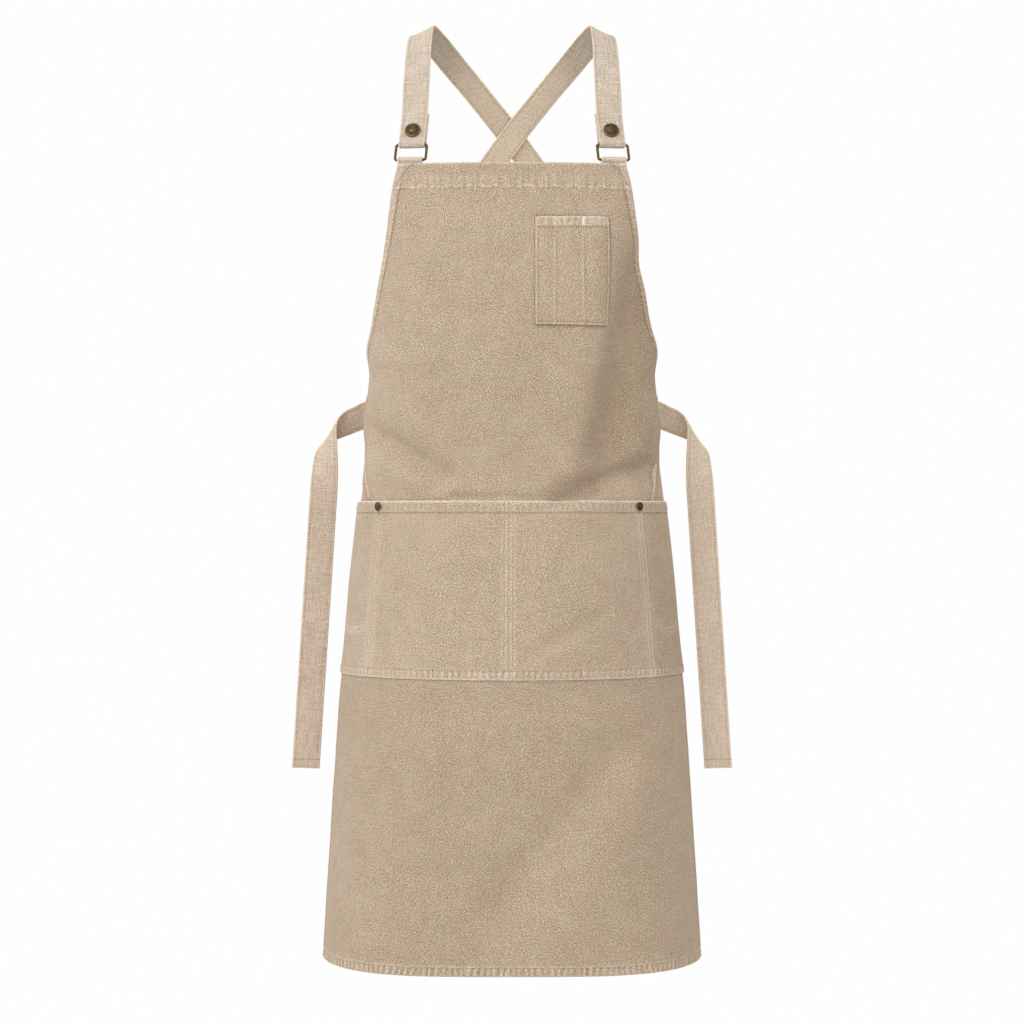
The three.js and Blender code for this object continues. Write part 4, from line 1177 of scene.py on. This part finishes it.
def make_tie(name, side, material, node):
    """A waist tie; returns its middle surface."""
    total = TIE_HANG + TIE_OUT + TIE_CURL * math.radians(TIE_CURL_TURN)
    places = np.concatenate([
        np.arange(-TIE_SEWN, TIE_FINE_UP_TO, 1.6),
        np.arange(TIE_FINE_UP_TO, total - TIE_END_LINES[0], 3.5),
        total - TIE_END_LINES,
    ])
    grid = np.array([tie_point(side, along, RIBBON_SHARES * TIE_WIDE) for along in places])
    pales = (TIE_PALE_AND_PAINTED_LIGHT[side], TIE_PALE_AND_PAINTED_LIGHT[side])
    piece, wide, long = ribbon(name, grid, TIE_THICK, material, node, pales, TIE_END_STITCH)
    return grid


# Stitching

THREAD_PITCH, THREAD_LONG, THREAD_RADIUS = 3.3, 2.5, 0.36
THREAD_SIDES = 6
THREAD_PROFILE = [(-0.5, 0.02, -0.35), (-0.36, 0.8, 0), (0, 1, 0.16), (0.36, 0.8, 0), (0.5, 0.02, -0.35)]
SUNK = {"body": 0.35, "waist": 0.25, "chest": 0.2, "ribbon": 0.12}  # how far a thread lies in each face


def along_run(where, arc, values):
    """Values of a run at distances from its start."""
    return np.stack([np.interp(where, arc, values[:, k]) for k in range(3)], axis=-1)


def stitches(name, runs, material):
    """Short threads laid along each run of (points, normals)."""
    turn = np.arange(THREAD_SIDES + 1) * 2 * math.pi / THREAD_SIDES
    patchwork = Patchwork(name)
    for points, normals in runs:
        arc = np.concatenate([[0], np.cumsum(np.linalg.norm(np.diff(points, axis=0), axis=1))])
        count = int(arc[-1] / THREAD_PITCH)
        middle = (np.arange(count) + 0.5) * arc[-1] / count
        centre = along_run(middle, arc, points)
        normal = unit(along_run(middle, arc, normals))
        tangent = unit(along_run(middle + 0.4, arc, points) - along_run(middle - 0.4, arc, points))
        beside = unit(np.cross(tangent, normal))
        tone = RNG.uniform(-0.15, 0.35, count)
        for k in range(count):
            around = np.cos(turn)[:, None] * beside[k] + 0.8 * np.sin(turn)[:, None] * normal[k]
            rings = []
            for share, wide, high in THREAD_PROFILE:
                spot = centre[k] + tangent[k] * share * THREAD_LONG + normal[k] * high * THREAD_RADIUS
                rings.append(spot + around * wide * THREAD_RADIUS)
            patchwork.add(np.array(rings), wear=tone[k])
    patchwork.build(material)


def cloth_run(across, z, off):
    """A run of stitches on the worn cloth."""
    across, z = np.broadcast_arrays(np.asarray(across, float), np.asarray(z, float))
    return seam_face(across, z, off), cloth_frame(across, z)[1]


def level_run(place, z, end):
    """Places across for a level run at a height, up to a distance from both edges."""
    half = float(cloth_half(z))
    across = np.arange(-half + end, half - end, 2.0)
    return place(across, np.full(len(across), z))


def body_runs():
    low, high = below(APRON_TALL), below(0)
    heights = np.arange(low + 3, high - 5, 2.0)
    over, under = heights >= below(POCKET_DROP), heights <= below(POCKET_DROP + POCKET_TALL)

    def place(across, z):
        return cloth_run(across, z, -SUNK["body"])

    runs = []
    for side in (-1, 1):
        for part in (heights[over], heights[under]):
            runs.append(place(side * (cloth_half(part) - STITCH_IN), part))
    return [*runs, level_run(place, low + STITCH_IN, 3), level_run(place, high - TOP_STITCH, 4)]


def waist_pocket_runs():
    low, high = below(POCKET_DROP + POCKET_TALL), below(POCKET_DROP)
    heights = np.arange(low + 2, high - 1, 2.0)

    def place(across, z):
        lift = compartments((across / cloth_half(z) + 1) / 2, WAIST_SEAMS, POCKET_SWELL)
        lift = lift * smooth((z - low) / POCKET_TALL / POCKET_FLAT)
        return cloth_run(across, z, WAIST_BASE - SUNK["waist"] + lift)

    runs = []
    for number in range(len(DIVIDERS)):
        for side in (-1, 1):
            runs.append(place(divider_at(number, heights) + side * DOUBLE_APART, heights))
    for side in (-1, 1):
        runs.append(place(side * (cloth_half(heights) - STITCH_IN), heights))
    for z in (high - MOUTH_STITCH, *(low + at for at in FOOT_STITCHES)):
        runs.append(level_run(place, z, 2))
    turn = np.linspace(0, math.pi, 30)
    for side, number in OUTER_SLOTS:
        for inset in SLOT_INSETS:
            middle, reach = slot_span(number, inset)
            across = middle - reach * np.cos(turn)
            runs.append(place(side * across, slot_height(across, number, inset)))
    return runs


def chest_pocket_runs():
    low, high = below(CHEST_DROP + CHEST_TALL), below(CHEST_DROP)
    left, right = CHEST_INNER, CHEST_INNER + CHEST_WIDE
    heights = np.arange(low + 2, high - 0.5, 2.0)
    inner = np.arange(left + 2, right - 1, 2.0)

    def place(across, z):
        across, z = np.broadcast_arrays(np.asarray(across, float), np.asarray(z, float))
        lift = compartments((across - left) / CHEST_WIDE, CHEST_SEAMS, CHEST_SWELL)
        lift = lift * smooth((z - low) / CHEST_TALL / POCKET_FLAT)
        return cloth_run(across, z, CHEST_BASE - SUNK["chest"] + lift)

    runs = [place(left + PATCH_STITCH, heights), place(right - PATCH_STITCH, heights)]
    runs += [place(inner, low + PATCH_STITCH), place(inner, high - PATCH_MOUTH_STITCH)]
    runs += [place(left + seam * CHEST_WIDE, heights) for seam in CHEST_SEAMS[1:-1]]
    return runs


def ribbon_runs(grid, rows, thick):
    """Edge stitches on both faces of a ribbon, over a range of its rows."""
    normals = ribbon_normals(grid)
    runs = []
    for column_at in np.flatnonzero(np.isclose(np.abs(RIBBON_SHARES), RIBBON_STITCH)):
        for face in (1, -1):
            normal = normals[rows, column_at] * face
            runs.append((grid[rows, column_at] + normal * (thick / 2 - SUNK["ribbon"]), normal))
    return runs


# Brass

RIM_AT, RIM_WIDE = 0.93, 0.07  # the rubbed rim, as shares of the radius
DOME_WIDE, DOME_PALE = 0.4, 0.3
RING_PALE = 0.25

# Profiles from the foot's middle to the top's middle: shares of the radius and of the height
PROFILES = {
    "cap": [(0, 0), (0.96, 0), (1, 0.18), (1, 0.42), (0.95, 0.62), (0.86, 0.68), (0.79, 0.55), (0.7, 0.56),
            (0.6, 0.72), (0.42, 0.9), (0.2, 0.99), (0, 1)],
    "stud": [(0, 0), (1, 0), (1, 0.3), (0.94, 0.42), (0.62, 0.46), (0.56, 0.95), (0.36, 1), (0.28, 0.5),
             (0, 0.45)],
    "rivet": [(0, 0), (0.98, 0), (1, 0.2), (0.95, 0.42), (0.72, 0.62), (0.44, 0.68), (0.36, 0.95), (0.2, 1),
              (0, 0.98)],
}


def rounded(stations, steps=5):
    """More stations along a profile, with its corners cut round."""
    points = np.array(stations, float)
    out = [points[0]]
    for before, here, after in zip(points[:-2], points[1:-1], points[2:]):
        start, end = here + (before - here) * 0.35, here + (after - here) * 0.35
        for t in np.linspace(0, 1, steps):
            out.append((1 - t) ** 2 * start + 2 * t * (1 - t) * here + t * t * end)
    out.append(points[-1])
    return out


def turned_piece(name, kind, radius, high, point, normal, material, node):
    """A lathed piece of one of the profiles, on a foot at point."""
    profile = rounded([(radius * r, high * h) for r, h in PROFILES[kind]])
    normal = unit(normal)
    side = unit(np.cross(normal, UP))
    other = np.cross(normal, side)
    turn = np.linspace(0, 2 * math.pi, 49)
    around = np.cos(turn)[:, None] * side + np.sin(turn)[:, None] * other
    rows = [point + around * max(out, 1e-3) + normal * up for out, up in profile]
    shares = np.array([out for out, _ in profile]) / max(out for out, _ in profile)
    rubbed = groove(shares - RIM_AT, RIM_WIDE) + DOME_PALE * groove(shares, DOME_WIDE)
    rubbed = rubbed * min(1, profile[1][0] / SNAP_RADIUS)
    patchwork = Patchwork(name)
    patchwork.add(np.array(rows), flip=True, wear=rubbed[:, None])
    patchwork.build(material, node)


def make_ring(name, side, material, node):
    place = ring_place(side)
    x, y = RING_INNER_WIDE / 2 + WIRE_RADIUS, RING_TALL / 2
    outline = []
    for sx, sy, start in ((1, 1, 0), (-1, 1, 90), (-1, -1, 180), (1, -1, 270)):
        for angle in np.radians(np.linspace(start, start + 90, 9)):
            outline.append((sx * (x - RING_CORNER) + RING_CORNER * math.cos(angle),
                            sy * (y - RING_CORNER) + RING_CORNER * math.sin(angle)))
    outline = np.array(outline)
    middle = (place["lower"] + place["upper"]) / 2
    centre = middle + outline[:, :1] * place["across"] + outline[:, 1:] * place["lean"]
    run = unit(np.roll(outline, -1, axis=0) - np.roll(outline, 1, axis=0))
    way_out = place["across"] * run[:, 1:] - place["lean"] * run[:, :1]
    turn = np.linspace(0, 2 * math.pi, 17)
    rows = (centre[:, None] + WIRE_RADIUS * (np.cos(turn)[None, :, None] * way_out[:, None]
                                             - np.sin(turn)[None, :, None] * place["face"]))
    patchwork = Patchwork(name)
    patchwork.add(rows, close=True, wear=RING_PALE)
    patchwork.build(material, node)


# Materials

TWILL_PITCH = 0.0022  # metres between the grain's diagonal ribs
RIPPLE_PITCH = 6.6  # mm between the puckers of a hem

# Noise over the flat cloth: scale, detail, roughness and gain
CLOTH_NOISE = {
    "wander": (330, 2, 0.65, 14.0),
    "share": (130, 2, 0.6, 4.0),
    "speck": (900, 1, 0.6, 1),
    "cloud": (16, 4, 0.6, 0.26),
    "patch": (52, 3, 0.6, 0.26),
    "hue": (34, 3, 0.6, 2.0),
    "wobble": (55, 3, 0.6, 12.0),
    "rippled": (45, 2, 0.5, 2.6),
    "frayed": (420, 2, 0.6, 3.0),
}
TONE = {"twill": 0.34, "speck": 2.7, "ripple": 0.28, "worn": 0.8}  # how much each shows in the colour
RELIEF = {"twill": 0.05, "speck": 0.2, "weft": 0.1, "ripple": 0.3}  # and in the relief
CLOTH_FINISH = {"Roughness": 0.92, "Specular IOR Level": 0.25, "Sheen Weight": 0.12, "Sheen Roughness": 0.5}
WEFT, WARP = (55, 620, 1), (560, 45, 1)  # stretched noise: slubs across and along the cloth

# Each cloth's base, warm, pale and dark colours, and the strengths of its grain and of its weave
CLOTHS = {
    "canvas": ((0.437, 0.345, 0.24, 1), (0.462, 0.333, 0.236, 1), (0.86, 0.755, 0.65, 1),
               (0.16, 0.105, 0.062, 1), 1, 0.25),
    "strap_cloth": ((0.5, 0.43, 0.362, 1), (0.5, 0.41, 0.325, 1), (0.9, 0.76, 0.6, 1),
                    (0.17, 0.115, 0.07, 1), 0.8, 1),
    "tie_cloth": ((0.55, 0.442, 0.342, 1), (0.55, 0.43, 0.322, 1), (0.87, 0.745, 0.62, 1),
                  (0.17, 0.115, 0.07, 1), 0.95, 1),
}
THREAD_BASE, THREAD_PALE, THREAD_DARK = (0.58, 0.465, 0.34, 1), (0.85, 0.76, 0.64, 1), (0.25, 0.17, 0.1, 1)
BRASS_DARK, BRASS_GOLD = (0.06, 0.036, 0.018, 1), (0.42, 0.28, 0.12, 1)


class Nodes:
    """A small builder for node trees."""

    def __init__(self, tree):
        self.tree = tree

    def add(self, kind, **settings):
        node = self.tree.nodes.new(kind)
        for key, value in settings.items():
            setattr(node, key, value)
        return node

    def feed(self, socket, value):
        """Links an output to a socket, or sets the socket's own value."""
        if hasattr(value, "is_output"):
            self.tree.links.new(value, socket)
        else:
            socket.default_value = value

    def math(self, operation, a, b=0.0, clamp=False):
        node = self.add("ShaderNodeMath", operation=operation, use_clamp=clamp)
        self.feed(node.inputs[0], a)
        self.feed(node.inputs[1], b)
        return node.outputs[0]

    def times(self, a, b):
        return self.math("MULTIPLY", a, b)

    def total(self, *values):
        out = values[0]
        for value in values[1:]:
            out = self.math("ADD", out, value)
        return out

    def value(self, name):
        return self.add("ShaderNodeAttribute", attribute_name=name).outputs["Fac"]

    def noise(self, vector, scale, detail, rough, stretch=(1, 1, 1)):
        mapping = self.add("ShaderNodeMapping")
        self.feed(mapping.inputs["Vector"], vector)
        mapping.inputs["Scale"].default_value = [scale * s for s in stretch]
        noise = self.add("ShaderNodeTexNoise")
        self.feed(noise.inputs["Vector"], mapping.outputs[0])
        for key, value in (("Scale", 1.0), ("Detail", detail), ("Roughness", rough)):
            noise.inputs[key].default_value = value
        return noise.outputs["Fac"]

    def centred(self, value, gain):
        return self.times(self.math("SUBTRACT", value, 0.5), gain)

    def mix(self, factor, a, b):
        node = self.add("ShaderNodeMix", data_type="RGBA")
        self.feed(node.inputs[0], factor)
        self.feed(node.inputs[6], a)
        self.feed(node.inputs[7], b)
        return node.outputs[2]

    def toned(self, colour, light, pale, dark):
        """A colour made paler where light is above 0 and darker below."""
        colour = self.mix(self.math("MAXIMUM", light, 0.0, True), colour, pale)
        return self.mix(self.math("MAXIMUM", self.times(light, -1.0), 0.0, True), colour, dark)

    def ribs(self, parts, way, wander):
        """Fine parallel ribs across a direction of the cloth, bent by wander."""
        turn = math.pi * math.sqrt(2) / TWILL_PITCH
        across = self.times(parts.outputs[0], turn)
        along = self.times(parts.outputs[1], way * turn)
        return self.math("SINE", self.total(across, along, wander))

    def bump(self, height, strength, distance):
        node = self.add("ShaderNodeBump")
        node.inputs["Strength"].default_value = strength
        node.inputs["Distance"].default_value = distance
        self.feed(node.inputs["Height"], height)
        return node.outputs[0]


def new_material(name):
    """A material, its node builder and its shader's sockets."""
    material = bpy.data.materials.new(name)
    material.use_nodes = True
    return material, Nodes(material.node_tree), material.node_tree.nodes["Principled BSDF"].inputs


def cloth_material(name, base, warm, pale, dark, grain, weave):
    """Washed broken twill: short diagonal ribs, slubs, mottling, pale edges, painted shade and light, and
    rippled hems.
    """
    material, n, shader = new_material(name)
    flat = n.add("ShaderNodeUVMap", uv_map="flat").outputs[0]
    noise = {}
    for key, (scale, detail, rough, gain) in CLOTH_NOISE.items():
        noise[key] = n.centred(n.noise(flat, scale, detail, rough), gain)
    weft = n.centred(n.noise(flat, 1, 2, 0.5, WEFT), 1)
    warp = n.centred(n.noise(flat, 1, 2, 0.5, WARP), 1)

    parts = n.add("ShaderNodeSeparateXYZ")
    n.feed(parts.inputs[0], flat)
    share = n.math("ADD", noise["share"], 0.5, True)
    rising, falling = n.ribs(parts, 1, noise["wander"]), n.ribs(parts, -1, noise["wander"])
    twill = n.total(n.times(n.math("SUBTRACT", 1.0, share), rising), n.times(share, falling))

    phase = n.total(n.times(n.value("along"), 2 * math.pi / RIPPLE_PITCH), noise["wobble"])
    rippled = n.math("ADD", noise["rippled"], 0.7, True)
    ripple = n.times(n.times(n.math("SINE", phase), n.value("pucker")), rippled)

    # This attribute carries wear, and also painted shade and painted light, into the colour.
    worn = n.times(n.value("wear"), n.math("MAXIMUM", n.math("ADD", noise["frayed"], 1.0), 0.1))
    kept = n.math("SUBTRACT", 1.0, n.times(n.value("wear"), 0.7), True)
    fine = n.total(n.times(twill, TONE["twill"] * grain), n.times(noise["speck"], TONE["speck"] * grain),
                   n.times(weft, weave), n.times(warp, weave))
    light = n.total(n.times(fine, kept), noise["cloud"], noise["patch"], n.times(ripple, TONE["ripple"]),
                    n.times(worn, TONE["worn"]))
    colour = n.mix(n.math("ADD", noise["hue"], 0.4, True), base, warm)
    n.feed(shader["Base Color"], n.toned(colour, light, pale, dark))

    height = n.total(n.times(twill, RELIEF["twill"] * grain), n.times(noise["speck"], RELIEF["speck"]),
                     n.times(weft, RELIEF["weft"]), noise["patch"], n.times(ripple, RELIEF["ripple"]))
    n.feed(shader["Normal"], n.bump(height, 1.0, 0.001))
    for key, value in CLOTH_FINISH.items():
        shader[key].default_value = value
    return material


def thread_material(name):
    material, n, shader = new_material(name)
    n.feed(shader["Base Color"], n.toned(THREAD_BASE, n.value("wear"), THREAD_PALE, THREAD_DARK))
    shader["Roughness"].default_value = 0.75
    return material


def brass_material(name):
    """Antique brass: dark brown patina, golden where it is rubbed."""
    material, n, shader = new_material(name)
    place = n.add("ShaderNodeTexCoord").outputs["Object"]
    patina = n.noise(place, 900, 4, 0.65)
    blotch = n.noise(place, 260, 2, 0.5)
    share = n.total(n.centred(patina, 0.8), n.centred(blotch, 0.6), n.times(n.value("wear"), 0.55))
    n.feed(shader["Base Color"], n.mix(n.math("ADD", share, 0.05, True), BRASS_DARK, BRASS_GOLD))
    n.feed(shader["Roughness"], n.math("ADD", n.centred(patina, 0.3), 0.3))
    n.feed(shader["Normal"], n.bump(patina, 0.4, 0.0002))
    shader["Metallic"].default_value = 1.0
    return material


# Camera, light and floor

VIEW_DISTANCE = 2.8  # from the camera to the apron's front
FRAME_WIDE = 1.0445  # width seen there
VIEW_HEIGHT = -0.5093
FLOOR = -1.06
FLOOR_REACH = 30
WHITE = (0.991, 0.991, 0.991, 1)
LIGHT_WAY = (-0.42, -0.42, 0.66)  # where the soft light is strongest
LIGHT_SPREAD, TINT_SPREAD = (-0.9, 0.9, 0.46, 1.44), (-0.6, 0.9, 0, 1)  # from, to, low and high
WARM_SIDE, COOL_SIDE = (1.0, 0.95, 0.875, 1), (0.985, 0.99, 0.995, 1)
KEY_PLACE, KEY_AIM = (-1.8, -2.2, 2.5), (0, 0, -0.2)
KEY_SIZE, KEY_POWER, KEY_COLOUR = 1.0, 18.5, (0.955, 0.98, 1.0)


def put(name, data, place):
    """A new object of the scene."""
    thing = bpy.data.objects.new(name, data)
    thing.location = place
    bpy.context.scene.collection.objects.link(thing)
    return thing


def add_camera():
    data = bpy.data.cameras.new("camera")
    data.sensor_fit = "HORIZONTAL"
    data.angle = 2 * math.atan(FRAME_WIDE / 2 / VIEW_DISTANCE)
    data.clip_end = 100
    camera = put("camera", data, (0, -FRONT_AHEAD / 1000 - VIEW_DISTANCE, VIEW_HEIGHT))
    camera.rotation_euler = (math.pi / 2, 0, 0)
    bpy.context.scene.camera = camera


def add_key():
    data = bpy.data.lights.new("key", "AREA")
    data.shape = "DISK"
    data.size, data.energy, data.color = KEY_SIZE, KEY_POWER, KEY_COLOUR
    way = np.subtract(KEY_AIM, KEY_PLACE)
    pitch = math.atan2(math.hypot(way[0], way[1]), -way[2])
    put("key", data, KEY_PLACE).rotation_euler = (pitch, 0, math.atan2(-way[0], way[1]))


def add_studio():
    """Even white for the eye, and soft light from the upper left, warmer from below."""
    world = bpy.data.worlds.new("studio")
    bpy.context.scene.world = world
    world.use_nodes = True
    n = Nodes(world.node_tree)
    n.tree.nodes.clear()
    towards = n.add("ShaderNodeVectorMath", operation="DOT_PRODUCT")
    n.feed(towards.inputs[0], n.add("ShaderNodeTexCoord").outputs["Generated"])
    towards.inputs[1].default_value = LIGHT_WAY

    def spread(start, end, low, high):
        node = n.add("ShaderNodeMapRange")
        n.feed(node.inputs["Value"], towards.outputs["Value"])
        for key, value in (("From Min", start), ("From Max", end), ("To Min", low), ("To Max", high)):
            node.inputs[key].default_value = value
        return node.outputs[0]

    lit = n.add("ShaderNodeBackground")
    n.feed(lit.inputs["Strength"], spread(*LIGHT_SPREAD))
    n.feed(lit.inputs["Color"], n.mix(spread(*TINT_SPREAD), WARM_SIDE, COOL_SIDE))
    seen = n.add("ShaderNodeBackground")
    seen.inputs["Color"].default_value = WHITE
    choose = n.add("ShaderNodeMixShader")
    n.feed(choose.inputs[0], n.add("ShaderNodeLightPath").outputs["Is Camera Ray"])
    n.feed(choose.inputs[1], lit.outputs[0])
    n.feed(choose.inputs[2], seen.outputs[0])
    n.feed(n.add("ShaderNodeOutputWorld").inputs["Surface"], choose.outputs[0])
    view = bpy.context.scene.view_settings
    view.view_transform = "Standard"
    view.look = "None"


def add_floor():
    mesh = bpy.data.meshes.new("floor")
    corners = [(x * FLOOR_REACH, y * FLOOR_REACH, FLOOR) for x, y in ((-1, -1), (1, -1), (1, 1), (-1, 1))]
    mesh.from_pydata(corners, [], [(0, 1, 2, 3)])
    white = bpy.data.materials.new("white_floor")
    white.use_nodes = True
    n = Nodes(white.node_tree)
    n.tree.nodes.clear()
    glow = n.add("ShaderNodeEmission")
    glow.inputs["Color"].default_value = WHITE
    n.feed(n.add("ShaderNodeOutputMaterial").inputs["Surface"], glow.outputs[0])
    mesh.materials.append(white)
    floor = put("floor", mesh, (0, 0, 0))
    floor.visible_diffuse = False
    floor.visible_glossy = False


# The apron

add_camera()
add_key()
add_studio()
add_floor()

canvas, strap_cloth, tie_cloth = [cloth_material(name, *row) for name, row in CLOTHS.items()]
thread = thread_material("thread")
brass = brass_material("antique_brass")

make_body(canvas)
make_waist_pocket(canvas)
make_chest_pocket(canvas)
stitches("cloth_stitching", [*body_runs(), *waist_pocket_runs(), *chest_pocket_runs()], thread)

CAP_PAST = 0.4  # the rolled rim's reach past the snap's radius
STRAP_STITCHED, TIE_STITCHED = slice(44, -10), slice(14, -2)  # rows of each that carry edge stitches
SNAP_OFF = STRAP_THICK + SEAM_GAP / 2 + SEAM_GAP

ribbon_stitches = []
for side_name, side in (("left", -1), ("right", 1)):
    make_tab("tab_cloth_" + side_name, side, strap_cloth, "tab_" + side_name)
    make_ring("wire_ring_" + side_name, side, brass, "ring_" + side_name)
    grid = make_strap("strap_cloth_" + side_name, side, strap_cloth, "strap_" + side_name)
    ribbon_stitches += ribbon_runs(grid, STRAP_STITCHED, STRAP_THICK)
    grid = make_tie("tie_cloth_" + side_name, side, tie_cloth, "tie_" + side_name)
    ribbon_stitches += ribbon_runs(grid, TIE_STITCHED, TIE_THICK)

    ring = ring_place(side)
    middle, face = ring["upper"] + ring["lean"] * SNAP_UP, ring["face"]
    turned_piece("cap_" + side_name, "cap", SNAP_RADIUS + CAP_PAST, SNAP_HIGH, middle + face * SNAP_OFF,
                 face, brass, "snap_cap_" + side_name)
    turned_piece("stud_" + side_name, "stud", STUD_RADIUS, STUD_HIGH, middle - face * SNAP_OFF,
                 -face, brass, "snap_stud_" + side_name)
    z = below(POCKET_DROP + RIVET_DROP)
    across = DIVIDERS[0 if side < 0 else -1] * float(cloth_half(z))
    point, normal = cloth_frame(across, z, SEAM_GAP + HEM_THICK + RIVET_EASE)
    turned_piece("pocket_rivet_" + side_name, "rivet", RIVET_RADIUS, RIVET_HIGH, point,
                 normal, brass, "rivet_" + side_name)
stitches("ribbon_stitching", ribbon_stitches, thread)
